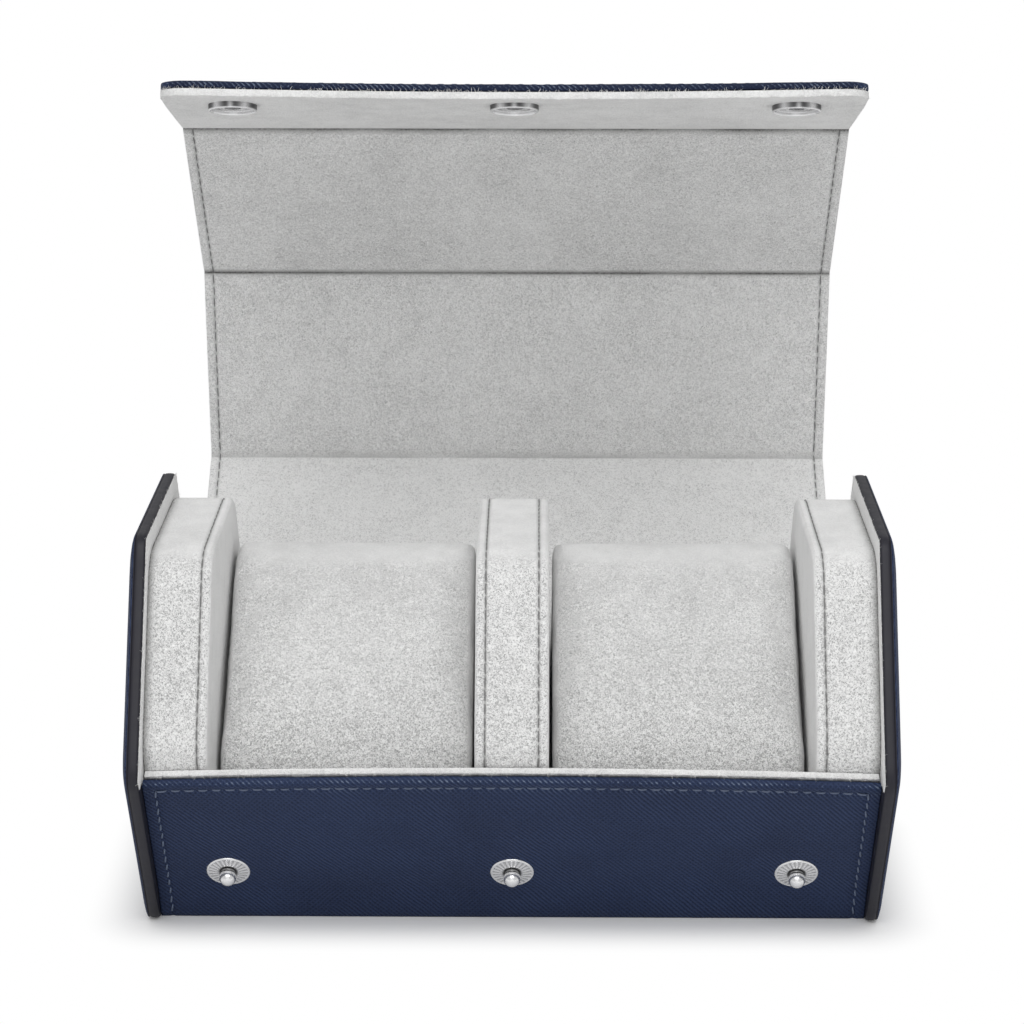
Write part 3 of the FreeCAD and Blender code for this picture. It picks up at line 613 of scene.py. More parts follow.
def leather_finish(colours):
    """Cross-grain navy leather: fine slanting ridges crossed by fainter ones, with painted highlights along
    its folds.
    """
    finish = Finish("cross_grain_leather")
    across, along = finish.grain()
    drift = finish.cloud(7 * MM, detail=1) * (0.8 * MM)
    turn = 2 * math.pi / GRAIN_PITCH
    first = (across * math.cos(GRAIN_TURN) - along * math.sin(GRAIN_TURN) + drift) * turn
    second = (across * math.cos(GRAIN_TURN) + along * math.sin(GRAIN_TURN) + drift) * turn
    lean = ((finish.cloud(16 * MM, detail=1) - 0.5) * 2.5 + 0.75).clamped()
    ridges = (first.sine() * 0.5 + 0.5) * (lean * 0.5 + 0.5)
    cross = (second.sine() * 0.5 + 0.5) * (0.75 - lean * 0.4)
    grain = ridges.larger(cross)
    pebble = finish.cloud(0.5 * MM, detail=2)
    wear_and_fold_highlight = finish.cloud(30 * MM, detail=2)
    height = grain * 0.8 + pebble * 0.45
    # The brightness mark adds painted light and painted shade to the leather's tone
    tone = (grain * 0.75 + (pebble - 0.5) * 0.9 + (wear_and_fold_highlight - 0.5) * 0.5 + finish.marked("brush") + 0.1).clamped()
    finish.raised(height, 0.2 * MM, 0.8)
    plain = finish.mix(tone, colours.leather_pit, colours.leather)
    # Painted highlight: along a fold the grain's tops take the light fold colour
    painted_highlight = (finish.marked("pressed") * ((grain * 1.1 + pebble * 1.6 - 1.55) * 3).clamped()).clamped()
    return finish.set(
        Base_Color=finish.mix(painted_highlight, plain, colours.leather_fold_highlight),
        Roughness=0.66 - grain * 0.14 + wear_and_fold_highlight * 0.06,
        Specular_IOR_Level=0.2,
    )


def edge_finish(colours):
    """Painted edge of the end caps: smooth, dark and faintly uneven."""
    finish = Finish("painted_edge")
    paint = finish.cloud(2.2 * MM, detail=3)
    wear = finish.cloud(18 * MM, detail=2)
    finish.raised(paint, 0.12 * MM, 0.5)
    dark = tuple(0.55 * c for c in colours.edge)
    return finish.set(
        Base_Color=finish.mix((paint * 0.7 + wear * 0.6 - 0.15).clamped(), dark, colours.edge),
        Roughness=0.36 + paint * 0.2,
        Specular_IOR_Level=0.4,
    )


def suede_finish(colours):
    """Short-napped suede: brushed patches, a curly pile coarser in places, painted light, and painted shade
    in creases.
    """
    finish = Finish("brushed_suede")
    pile = finish.cloud(0.55 * MM, detail=2, rough=0.6, distort=1.4)
    fibre = finish.cloud(0.3 * MM, detail=1, distort=0.8)
    brushed = finish.cloud(24 * MM, detail=3)
    soft = finish.cloud(5 * MM, detail=2)
    nap = finish.marked("nap")
    curl = ((pile - 0.5) * 2.4 + (fibre - 0.5) * 1.4) * nap
    # The brightness mark adds painted light and painted shade to the suede's tone
    tone = curl + (brushed - 0.5) * 0.4 + (soft - 0.5) * 0.3 + finish.marked("brush") + 0.72
    finish.raised(pile * 0.8 + fibre * 0.3, 0.6 * MM, 0.9)
    light = finish.mix(tone.clamped(), colours.suede_shade, colours.suede)
    # Painted shade: creases, seams and gaps take the dark crease colour
    painted_shade = (finish.marked("pressed") * ((pile - 0.5) * 2.4 + 0.95)).clamped()
    return finish.set(
        Base_Color=finish.mix(painted_shade, light, colours.crease),
        Roughness=0.92 + pile * 0.08,
        Specular_IOR_Level=0.1,
    )


def thread_finish(name, tint):
    """Twisted sewing thread."""
    finish = Finish(name)
    twist = finish.cloud(0.25 * MM, detail=1)
    finish.raised(twist, 0.08 * MM, 0.6)
    dark = tuple(0.5 * c for c in tint)
    return finish.set(Base_Color=finish.mix(twist, dark, tint), Roughness=0.75 - twist * 0.15)


def metal_finish(colours):
    """Bright plated metal with faint handling marks, and painted shade and dark reflections where marked."""
    finish = Finish("plated_metal")
    marks = finish.cloud(1.1 * MM, detail=3)
    haze = finish.cloud(5 * MM, detail=2)
    finish.raised(marks, 0.02 * MM, 0.4)
    dull = tuple(0.88 * c for c in colours.metal)
    # Painted shade and painted dark reflections take the dark metal colour
    painted_dark = finish.marked("pressed")
    return finish.set(
        Base_Color=finish.mix(painted_dark.clamped(), finish.mix(haze, dull, colours.metal), colours.painted_metal_shade),
        Roughness=0.14 + marks * 0.14 + painted_dark * 0.2,
        Metallic=0.85,
    )


def board_finish(colours):
    """Pressed greyboard with flecks of fibre."""
    finish = Finish("greyboard")
    fleck = finish.cloud(0.8 * MM, detail=4)
    finish.raised(fleck, 0.1 * MM, 0.5)
    dark = tuple(0.7 * c for c in colours.board)
    return finish.set(Base_Color=finish.mix(fleck, dark, colours.board), Roughness=0.9)


FINISHES = {
    "cross_grain_leather": leather_finish,
    "painted_edge": edge_finish,
    "brushed_suede": suede_finish,
    "navy_thread": lambda colours: thread_finish("navy_thread", colours.navy_thread),
    "grey_thread": lambda colours: thread_finish("grey_thread", colours.grey_thread),
    "plated_metal": metal_finish,
    "greyboard": board_finish,
}


def material(name):
    """A finished material, made the first time that it is asked for."""
    if name not in bpy.data.materials:
        FINISHES[name](bpy.context.scene.case_colours)
    return bpy.data.materials[name]


# Sewing


# How far the dip along a row of stitches reaches to each side, on leather and on suede
SEAM_WIDTH, SUEDE_SEAM_WIDTH = 0.55 * MM, 0.5 * MM
SIDE_SLANT = 0.16
LOOK_AHEAD = 0.2 * MM
# How unevenly the stitches lie: their turn, their height, their place across the row and their length
STITCH_TURN, STITCH_LIFT, STITCH_SHIFT, STITCH_STRETCH = 0.12, 0.09 * MM, 0.10 * MM, 0.25


def stitch_model(sizes, thread):
    """One stitch along X, bowed up in the middle and sunk at both ends."""
    around = np.linspace(0, 2 * math.pi, 7)[:-1]
    rings = []
    for step in np.linspace(-1, 1, 7):
        girth = thread / 2 * (1 - 0.5 * abs(step) ** 3)
        lift = thread * (0.32 - 0.85 * step**4)
        x = step * sizes.stitch_length / 2
        rings.append([(x, girth * math.cos(a), lift + girth * math.sin(a)) for a in around])
    return ring_piece("stitch_model", rings)


def steps_along(points):
    """How far along a row each of its points lies."""
    return np.concatenate([[0], np.cumsum(np.linalg.norm(np.diff(points, axis=0), axis=1))])


def row_value(values, steps, distance):
    """A row's place or direction at a distance along it."""
    return np.array([np.interp(distance, steps, values[:, axis]) for axis in range(3)])


def sewn_places(points, outward, pitch, slant=0.0):
    """Places for stitches along a row of points, each with its directions along, across and outwards."""
    points, outward = np.asarray(points, float), np.asarray(outward, float)
    steps = steps_along(points)
    count = max(2, round(steps[-1] / pitch))
    places = []
    for distance in (np.arange(count) + 0.5) * steps[-1] / count:
        origin = row_value(points, steps, distance)
        run = row_value(points, steps, distance + LOOK_AHEAD) - origin
        run /= np.linalg.norm(run)
        up = row_value(outward, steps, distance)
        up = up - run * (up @ run)
        up /= np.linalg.norm(up)
        across = np.cross(up, run)
        lean = slant + STITCH_TURN * ripple(distance * 900, origin[0] * 300)
        origin = origin + up * STITCH_LIFT * ripple(distance * 700, 4.0)
        origin = origin + across * STITCH_SHIFT * ripple(distance * 500, 8.0)
        run, across = (
            run * math.cos(lean) + across * math.sin(lean),
            across * math.cos(lean) - run * math.sin(lean),
        )
        stretch = 1 + STITCH_STRETCH * ripple(distance * 800, 2.0)
        places.append((origin, (run * stretch, across, up)))
    return places


def sew(name, sizes, rows, thread, body=None):
    """A piece of stitches along several rows, each of points, outward directions and the stitches' slant."""
    on_leather = thread == "navy_thread"
    model = stitch_model(sizes, sizes.thread * (1 if on_leather else 0.55))
    places = []
    for points, outward, slant in rows:
        places += sewn_places(points, outward, sizes.stitch_pitch, slant)
    piece = copies(name, model, places)
    bpy.data.objects.remove(model)
    return put_on(piece, body, "navy_leather" if on_leather else "grey_suede", material(thread))


# Fringes


def fibre_model():
    """One fibre, one unit thick and one unit long along Z, bent and drawn to a tip."""
    around = np.radians([0, 120, 240])
    rings = []
    for height, girth, lean in ((0, 0.5, 0), (0.55, 0.4, 1.2), (1, 0.08, 4)):
        rings.append([(girth * math.cos(a) + lean, girth * math.sin(a), height) for a in around])
    return ring_piece("fibre_model", rings)


def fringe(name, points, outward, count, longest, body, seed):
    """A fringe of loose fibres along a raw edge, each point with the direction in which its fibres stand."""
    chance = np.random.default_rng(seed)
    points, outward = np.asarray(points, float), np.asarray(outward, float)
    steps = steps_along(points)
    places = []
    for distance in chance.uniform(0, steps[-1], count):
        origin = row_value(points, steps, distance)
        up = row_value(outward, steps, distance)
        up = up / np.linalg.norm(up) + chance.normal(0, 0.42, 3)
        up /= np.linalg.norm(up)
        side = np.cross(up, chance.normal(0, 1, 3))
        side /= np.linalg.norm(side)
        thick = chance.uniform(0.09, 0.16) * MM
        long = longest * chance.uniform(0.35, 1) ** 1.5
        places.append((origin - up * 0.15 * MM, (side * thick, np.cross(up, side) * thick, up * long)))
    model = fibre_model()
    piece = copies(name, model, places)
    bpy.data.objects.remove(model)
    # Painted light: the loose fibres are made lighter
    mark_nap(piece, 0.3, 0.2)
    return put_on(piece, body, "grey_suede", material("brushed_suede"))


# The body


def wrap_corners(sizes):
    """Corners of the body's leather, from behind the front wall's edge round to the strip under the hinge."""
    front = (FRONT_LOW, reach("body_leather", FRONT_LOW))
    back = (BACK_LOW, reach("body_leather", BACK_LOW))
    bottom = (BOTTOM, MIDDLE[1])
    rim = (RIM, reach("body_leather", RIM))
    behind = (FRONT_LOW, front[1] - sizes.roll)
    return [
        meet(behind, (RIM, rim[1] - sizes.tuck)),
        meet(behind, rim),
        meet(front, rim),
        meet(front, bottom),
        meet(bottom, back),
        crease("lid_hinge") - toward(HINGE_RIM) * sizes.hinge_strip,
    ]


def front_bow(sizes, x):
    """How far the front wall's edge rises at a place along X."""
    return sizes.bow * (1 - (x / WALL_HALF) ** 2)


def make_wrap(sizes):
    """The leather round the body, rolled over the front wall's edge, with its sewing."""
    corners = wrap_corners(sizes)
    marks = Line(corners).marks
    rim_mark, foot_mark = marks[2], marks[3]
    seam = rim_mark + sizes.front_margin
    outer = Line(corners, soft=0.8 * MM, dense=[seam])
    inner = Line(inside(corners, sizes.leather), soft=0.25 * MM)
    edge = WALL_HALF - sizes.leather_margin

    def swell(along, x):
        on_front = (along > rim_mark) & (along < foot_mark)
        rise = np.clip((along - seam) / (foot_mark - seam), 0, 1)
        puff = 0.2 * MM * np.sin(math.pi * rise) * on_front
        puff = puff + sizes.foot * ease(along, foot_mark - 12 * MM, foot_mark - 1.5 * MM) * on_front
        side = abs(x) - edge
        sewn = bell(along - seam, SEAM_WIDTH) * (side < 0)
        sewn = np.maximum(sewn, bell(side, SEAM_WIDTH) * (along > seam) * on_front)
        bead = 0.22 * MM * bell(along - rim_mark - 1.2 * MM, 1.2 * MM)
        wave = 0.10 * MM * ripples(x, along, 9 * MM, 1.0) * bell(along - rim_mark, 4 * MM)
        return puff + bead + wave - sizes.seam_depth * sewn - rounded_edge(x, WALL_HALF, 0.25 * MM)

    def hidden(along, x):
        return np.full(len(along), -rounded_edge(x, WALL_HALF, 0.1 * MM))

    def bowed(points, along, x):
        rise = 1 - ease(np.abs((points - corners[2]) @ toward(RIM)), 2 * MM, 14 * MM)
        return np.outer(front_bow(sizes, x) * rise * (points[:, 0] < -20 * MM), toward(RIM))

    # Painted highlight along the fold of the rolled edge, and a fainter lightening along the row of stitches
    def wear_and_fold_highlight(along, x):
        return bell(along - rim_mark, 0.3 * MM) + 0.25 * bell(along - seam, 1.0 * MM)

    places = spread_x(WALL_HALF, EDGE_STEPS, 2.4 * MM)
    piece = sheet_piece("body_wrap", places, outer, inner, swell, hidden, bowed, (wear_and_fold_highlight, still))
    # The leather under the case lies flat on the table
    for vertex in piece.data.vertices:
        vertex.co.z = max(vertex.co.z, 0)
    put_on(piece, "base", "navy_leather", material("cross_grain_leather"), "body_leather")

    out = np.array([0, *toward(FRONT_LOW)])

    def on_wall(distance, x):
        spot = outer.at([distance])
        spot = spot[0] + bowed(spot, None, x)[0]
        return np.array([x, *spot]) + out * float(swell(np.array([distance]), x)[0])

    top = [on_wall(seam, x) for x in np.linspace(-edge, edge, 60)]
    rows = [(top, [out] * len(top), 0.0)]
    for sign in SIDES.values():
        side = [on_wall(d, sign * edge) for d in np.linspace(seam, foot_mark - 2 * MM, 30)]
        rows.append((side, [out] * len(side), sign * SIDE_SLANT))
    sew("body_stitching", sizes, rows, "navy_thread", "base")


def make_lining(sizes):
    """The suede inside the walls, with the thick raw edge that stands behind the front wall's leather."""
    front = (FRONT_LOW, reach("body_leather", FRONT_LOW))
    back = (BACK_LOW, reach("body_leather", BACK_LOW))
    bottom = (BOTTOM, MIDDLE[1])
    rim = reach("body_leather", RIM) + 0.35 * MM

    def run(depth):
        lines = [(angle, distance - depth) for angle, distance in (front, bottom, back)]
        foot = crease("lid_hinge") - toward(HINGE_RIM) * sizes.hinge_strip + toward(BACK_LOW) * -depth
        return [meet(lines[0], lines[1]), meet(lines[1], lines[2]), foot]

    lip = (FRONT_LOW, front[1] - sizes.lip_back)
    deep = (FRONT_LOW, front[1] - sizes.wall_board_depth)
    face = (FRONT_LOW, front[1] - sizes.wall_depth)
    outer_corners = [
        meet(lip, (RIM, rim)),
        meet(lip, (RIM, rim - sizes.lip)),
        meet(deep, (RIM, rim - sizes.lip - 0.4 * MM)),
        *run(sizes.wall_board_depth),
    ]
    inner_corners = [meet(face, (RIM, rim)), *run(sizes.wall_depth)]
    outer = Line(outer_corners, soft=0.2 * MM)
    inner = Line(inner_corners, soft=0.6 * MM)

    def frayed(along, x):
        return 0.22 * MM * ripples(x, along, 0.8 * MM, 3.0) * (along < 2 * MM)

    def nap(along, x):
        return frayed(along, x) - rounded_edge(x, HALF_WIDTH, 0.2 * MM)

    def bowed(points, along, x):
        return np.outer(front_bow(sizes, x) * (1 - ease(along, 2 * MM, 14 * MM)), toward(RIM))

    places = spread_x(HALF_WIDTH, EDGE_STEPS, 0.8 * MM)
    piece = sheet_piece("body_inner_lining", places, outer, inner, frayed, nap, bowed)
    mark_nap(piece, 0.4)
    put_on(piece, "base", "grey_suede", material("brushed_suede"), "body_lining")

    ends = np.linspace(-HALF_WIDTH, HALF_WIDTH, 120)
    lift = np.array([toward(RIM) * front_bow(sizes, x) for x in ends])
    edge = np.column_stack([ends, np.asarray(outer_corners[0]) + lift])
    out = np.array([0, *(toward(RIM) * 0.6 + toward(FRONT_LOW))])
    fringe("body_lining_fringe", edge, [out] * len(edge), 620, 1.4 * MM, "base", 11)


# The end caps


def closed_outline(distances, count, soft, inset=0.0):
    """Points round the hexagon whose sides lie at the given distances, with softly rounded corners."""
    lines = [(angle, distance - inset) for angle, distance in zip(ROUND, distances)]
    return softened(np.array([meet(a, b) for a, b in zip(lines, lines[1:] + lines[:1])]), count, soft)


def softened(corners, count, soft, samples=13):
    """Points evenly round a closed outline, with its corners rounded by averaging it over a short reach."""
    steps = np.linalg.norm(np.roll(corners, -1, 0) - corners, axis=1)
    marks = np.concatenate([[0], np.cumsum(steps)])
    loop = np.vstack([corners, corners[:1]])
    window = np.linspace(-soft, soft, samples)
    wanted = (np.arange(count)[:, None] / count * marks[-1] + window) % marks[-1]
    return np.stack([np.interp(wanted, marks, loop[:, axis]).mean(1) for axis in (0, 1)], 1)


def shown_run(outline, shown):
    """The stretch of a closed outline that is marked as shown, from its start to its end."""
    first = int(np.argmax(shown & ~np.roll(shown, 1)))
    return np.roll(outline, -first, 0)[np.roll(shown, -first)]


def from_middle(outline):
    """Directions from the hexagon's middle to the points of an outline."""
    flat = outline - MIDDLE
    return flat / np.linalg.norm(flat, axis=1)[:, None]


def lifted(outline, x):
    """A ring of points at a place along X."""
    return np.column_stack([np.full(len(outline), x), outline])


CAP_POINTS = 288
CAP_SOFT = 3.2 * MM
CAP_LINING_THICK = 0.25 * MM
CAP_LINING_SOFT = 0.9 * MM
CAP_LEATHER_GAP = 0.02 * MM
FRAY_RATE = 1300
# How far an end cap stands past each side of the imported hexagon, in millimetres
CAP_PROUD = {BOTTOM: 0, BACK_LOW: 1.0, BACK_HIGH: 1.2, TOP_SIDE: 0.7, FRONT_HIGH: 0.5, FRONT_LOW: 1.3}
# The lining's rings: share of its thickness, then inset and fraying in millimetres
CAP_LINING_RINGS = [(0, 1.5, 0), (0.15, 0.95, 0.1), (0.4, 0.6, 0.22), (0.7, 0.45, 0.3), (1, 0.6, 0.25)]
# Outlines of the painted edge and of the domed leather: share of the width, then inset in millimetres
CAP_EDGE_PROFILE = [
    (0, 5.5), (0, 0.45), (0.06, 0.2), (0.16, 0.06), (0.36, 0.0), (0.62, 0.0),
    (0.78, 0.04), (0.86, 0.14), (0.9, 0.26), (0.94, 0.14), (1, 0.1), (1, 1.1),
]
CAP_ARCH = [
    (0, 0.12), (0.06, 0.2), (0.15, 0.8), (0.28, 2.1), (0.42, 4.2), (0.56, 7.0),
    (0.70, 10.4), (0.82, 14.2), (0.91, 18.4), (0.97, 23), (1, 29), (1, 37),
]


def cap_lining_outline(distances, count, inset, wall_inset=4.2 * MM):
    """Points round an end cap's lining: near the rim above the walls, and behind their leather below."""
    rim = {angle: (angle, distance - inset) for angle, distance in zip(ROUND, distances)}
    wall = {angle: (angle, distance - wall_inset) for angle, distance in zip(ROUND, distances)}
    front = (RIM, reach("body_leather", RIM) + 1.6 * MM)
    back = (HINGE_RIM, float((crease("lid_hinge") - MIDDLE) @ toward(HINGE_RIM)))
    corners = [
        meet(wall[BOTTOM], wall[BACK_LOW]),
        meet(wall[BACK_LOW], back),
        meet(rim[BACK_LOW], back),
        meet(rim[BACK_LOW], rim[BACK_HIGH]),
        meet(rim[BACK_HIGH], rim[TOP_SIDE]),
        meet(rim[TOP_SIDE], rim[FRONT_HIGH]),
        meet(rim[FRONT_HIGH], rim[FRONT_LOW]),
        meet(rim[FRONT_LOW], front),
        meet(wall[FRONT_LOW], front),
        meet(wall[FRONT_LOW], wall[BOTTOM]),
    ]
    return softened(np.array(corners), count, CAP_LINING_SOFT)


def make_cap_lining(side, sign, distances):
    """An end cap's suede lining, with fibres along its raw edge."""

    def frayed_ring(x, inset, amount, seed):
        outline = cap_lining_outline(distances, 3 * CAP_POINTS, inset)
        jitter = np.array([ripple(*p * FRAY_RATE, seed) for p in outline - MIDDLE])
        return lifted(outline + from_middle(outline) * (amount * jitter)[:, None], sign * x)

    start = CAP_INNER_X - CAP_LINING_THICK
    rings = [
        frayed_ring(start + share * CAP_LINING_THICK, inset * MM, fray * MM, 5.0 + number)
        for number, (share, inset, fray) in enumerate(CAP_LINING_RINGS)
    ]
    piece = ring_piece(f"{side}_cap_lining", rings)
    # Painted light: the lining's strip is made a little lighter
    mark_nap(piece, 0.55, 0.1)
    put_on(piece, "base", "grey_suede", material("brushed_suede"), f"{side}_end_lining")

    edge = cap_lining_outline(distances, CAP_POINTS, 0.55 * MM)
    edge = shown_run(edge, (edge - MIDDLE) @ toward(TOP_SIDE) > -5 * MM)
    row = lifted(edge, sign * (CAP_INNER_X - 0.1 * MM))
    out = np.column_stack([np.full(len(edge), sign * 25 * MM), edge - MIDDLE])
    fringe(f"{side}_cap_fringe", row, out, 330, 0.9 * MM, "base", 20 + sign)


def cap_rings(distances, profile, start, end):
    """Rings of an end cap's edge or leather between two places along X."""
    return [
        lifted(closed_outline(distances, CAP_POINTS, CAP_SOFT, inset * MM), start + share * (end - start))
        for share, inset in profile
    ]


def make_end_caps():
    """Each end cap: fuzzy lining, painted edge and domed leather."""
    for side, sign in SIDES.items():
        rim_x = max(abs(corner.x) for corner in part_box(f"{side}_end_edge_band"))
        crown_x = max(abs(corner.x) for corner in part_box(f"{side}_end_leather"))
        distances = [reach(f"{side}_end_edge_band", angle) + CAP_PROUD[angle] * MM for angle in ROUND]
        make_cap_lining(side, sign, distances)

        loops = cap_rings(distances, CAP_EDGE_PROFILE, sign * CAP_INNER_X, sign * rim_x)
        piece = ring_piece(f"{side}_cap_edge", np.swapaxes(np.array(loops), 0, 1), closed=True)
        put_on(piece, "base", "navy_leather", material("painted_edge"), f"{side}_end_edge_band")

        start, end = rim_x + CAP_LEATHER_GAP, crown_x + CAP_LEATHER_GAP
        piece = ring_piece(f"{side}_cap_leather", cap_rings(distances, CAP_ARCH, sign * start, sign * end))
        lay_grain(piece)
        nodes = [f"{side}_end_leather", f"{side}_end_padding"]
        put_on(piece, "base", "navy_leather", material("cross_grain_leather"), *nodes)


# The pads and the divider

PAD_POINTS = 420
PAD_STEP = 0.42 * MM
PAD_SEAM_PULL = 1.4
PUCKER_RATE, PUCKER_RISE, PUCKER_REACH = 420, 0.1 * MM, 3.5 * MM
SAG_RATE, SAG_DEPTH = 60, 0.06 * MM
# A glued end's rings, as distance from the end and inset
GLUED_END = [(0, 0.35 * MM), (0.4 * MM, 0.1 * MM)]
# Rings that close an upholstered face: inset in millimetres, then share of the face's swelling
FACE_RINGS = [(0.8, 0.15), (2, 0.4), (5, 0.7), (10, 0.9), (18, 1.0), (28, 1.0), (37, 1.0)]
FACE_SWELL = 0.15 * MM


def block_profile(sizes, near, far, round_near, round_far):
    """Places along X and insets of an upholstered block's rings, from one end to the other."""
    edge = sizes.pad_edge
    width = far - near
    seams = []
    if round_near:
        seams.append(sizes.pad_margin)
    if round_far:
        seams.append(width - sizes.pad_margin)
    quarter = np.linspace(0, math.pi / 2, 7)
    curve = [(edge * (1 - math.cos(a)), edge * (1 - math.sin(a))) for a in quarter]
    start = curve if round_near else GLUED_END
    finish = (curve if round_far else GLUED_END)[::-1]
    rings = [(near + x, inset) for x, inset in start]
    for x in np.arange(start[-1][0] + 0.4 * MM, width - finish[0][0] - 0.1 * MM, PAD_STEP):
        pull = sizes.seam_depth * PAD_SEAM_PULL
        rings.append((near + x, sum(pull * bell(x - seam, SUEDE_SEAM_WIDTH) for seam in seams)))
    rings += [(far - x, inset) for x, inset in finish]
    return rings


def face_rings(edge_inset, x, bulge):
    """Places and insets of the rings that close an upholstered face, swelling slightly to its middle."""
    return [(x + bulge * swell, edge_inset + inset * MM) for inset, swell in FACE_RINGS]


def make_block(name, sizes, nodes, near, far, round_near, round_far):
    """An upholstered block with topstitched edges at its rounded ends."""
    ends = ((near, round_near, sizes.pad_margin), (far, round_far, -sizes.pad_margin))
    seams = [x + margin for x, rounded, margin in ends if rounded]
    glued = [x for x, rounded, margin in ends if not rounded]
    distances = [reach(nodes[0], angle) for angle in ROUND]
    profile = block_profile(sizes, near, far, round_near, round_far)
    if round_near:
        profile = face_rings(sizes.pad_edge, near, -FACE_SWELL)[::-1] + profile
    if round_far:
        profile += face_rings(sizes.pad_edge, far, FACE_SWELL)
    rings = []
    for x, inset in profile:
        outline = closed_outline(distances, PAD_POINTS, sizes.pad_corner, inset)
        flat = outline - MIDDLE
        gather = sum(math.exp(-abs(x - end) / PUCKER_REACH) for end in glued)
        pucker = np.array([ripple(*p * PUCKER_RATE, 2.0) for p in flat])
        sag = np.array([ripple(x * SAG_RATE, *p * SAG_RATE) for p in flat])
        swell = gather * PUCKER_RISE * pucker + SAG_DEPTH * (sag - 1)
        rings.append(lifted(outline + from_middle(outline) * swell[:, None], x))
    piece = ring_piece(name, rings)
    mark_nap(piece)
    xs = vertex_places(piece)[:, 0]
    # Painted shade along each row of stitches and in the gap beside each glued end
    dark = [0.5 * bell(xs - seam, 0.28 * MM) for seam in seams]
    dark += [np.maximum(bell(xs - end, 0.55 * MM), 0.6 * bell(xs - end, 1.5 * MM)) for end in glued]
    mark(piece, "pressed", np.max(dark, axis=0))
    put_on(piece, "base", "grey_suede", material("brushed_suede"), *nodes)

    outline = closed_outline(distances, PAD_POINTS, sizes.pad_corner, sizes.seam_depth * 0.9)
    flat = outline - MIDDLE
    run = shown_run(outline, (flat @ toward(HINGE_RIM) > -30 * MM) & (flat @ toward(RIM) > -12 * MM))
    out = np.column_stack([np.zeros(len(run)), run - MIDDLE])
    rows = [(lifted(run, x), out, 0.0) for x in seams]
    sew(f"{name}_stitching", sizes, rows, "grey_thread", "base")


def make_pads(sizes):
    """The end pads and the divider between the bays."""
    for side in SIDES:
        low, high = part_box(f"{side}_pad_band")
        nodes = [f"{side}_pad_{part}" for part in ("band", "core", "side")]
        make_block(f"{side}_pad", sizes, nodes, low.x, high.x, side == "right", side == "left")
    low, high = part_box("divider_band")
    nodes = ["divider_band", "divider_core", "divider_left_side", "divider_right_side"]
    make_block("divider_pad", sizes, nodes, low.x, high.x, True, True)


# The cushions


CUSHION_TILT = math.radians(36.4)
CUSHION_POINTS = 160
CUSHION_CORNER = 13 * MM
CUSHION_CROWN = 4 * MM
CUSHION_END_GAP = 0.95 * MM
CUSHION_END_DRAW = 0.7 * MM
CUSHION_SIDE_SWELL = 0.4 * MM
CUSHION_PRESSURE = 4
CUSHION_FRAMES = 20
# Rings from a cushion's middle to one end, as shares of half its length
CUSHION_RINGS = [0, 0.3, 0.6, 0.86, 0.94, 0.975, 0.992, 1]


def cushion_rings(side):
    """Rings of a cushion before it swells, from its left end to its right, fitted to its packed cover."""
    cover = frame["nodes"][f"{side}_cushion_cover"]
    places = np.array([vertex.co for vertex in cover.data.vertices])
    low, high = places.min(0), places.max(0)
    run = np.array([math.cos(CUSHION_TILT), math.sin(CUSHION_TILT)])
    up = np.array([-run[1], run[0]])
    flat = np.column_stack([places[:, 1:] @ run, places[:, 1:] @ up])
    (left, under), (right, over) = flat.min(0), flat.max(0)
    top = over - CUSHION_CROWN
    corners = np.array([(left, under), (right, under), (right, top), (left, top)])
    outline = softened(corners, CUSHION_POINTS, CUSHION_CORNER, samples=25)
    middle = (corners[0] + corners[2]) / 2
    across = np.clip((outline[:, 0] - middle[0]) / ((right - left) / 2), -1, 1)
    outline[:, 1] += CUSHION_CROWN * (1 - across**2) * (outline[:, 1] > middle[1])
    towards = outline - middle
    half = (high[0] - low[0]) / 2 - CUSHION_END_GAP
    centre = (low[0] + high[0]) / 2
    rings = []
    for share in (*(-s for s in CUSHION_RINGS[:0:-1]), *CUSHION_RINGS):
        drawn = CUSHION_END_DRAW * abs(share) ** 40
        ring = middle + towards * (1 - drawn / np.linalg.norm(towards, axis=1))[:, None]
        spots = ring[:, :1] * run + ring[:, 1:] * up
        rings.append(lifted(spots, centre + share * half))
    return rings


def swell_cushion(piece, sizes):
    """Swell a cushion's cover with air, as far as its cap allows."""
    remesh = piece.modifiers.new("mesh", "REMESH")
    remesh.mode = "VOXEL"
    remesh.voxel_size = sizes.cushion_voxel
    bpy.ops.object.modifier_apply(modifier="mesh")
    before = vertex_places(piece)
    cloth = piece.modifiers.new("cloth", "CLOTH")
    cloth.settings.use_pressure = True
    cloth.settings.uniform_pressure_force = CUSHION_PRESSURE
    cloth.settings.effector_weights.gravity = 0
    cloth.point_cache.frame_start, cloth.point_cache.frame_end = 1, CUSHION_FRAMES
    for number in range(1, CUSHION_FRAMES + 1):
        bpy.context.scene.frame_set(number)
    bpy.ops.object.modifier_apply(modifier="cloth")
    bpy.context.scene.frame_set(1)
    move = vertex_places(piece) - before
    far = np.linalg.norm(move, axis=1)
    move *= np.minimum(1, sizes.cushion_cap / np.maximum(far, 1e-9))[:, None]
    move[:, 0] = np.clip(move[:, 0], -CUSHION_SIDE_SWELL, CUSHION_SIDE_SWELL)
    piece.data.vertices.foreach_set("co", (before + move).ravel())
    piece.data.update()
    smooth = piece.modifiers.new("subdivision", "SUBSURF")
    smooth.levels = smooth.render_levels = 1
    bpy.ops.object.modifier_apply(modifier="subdivision")


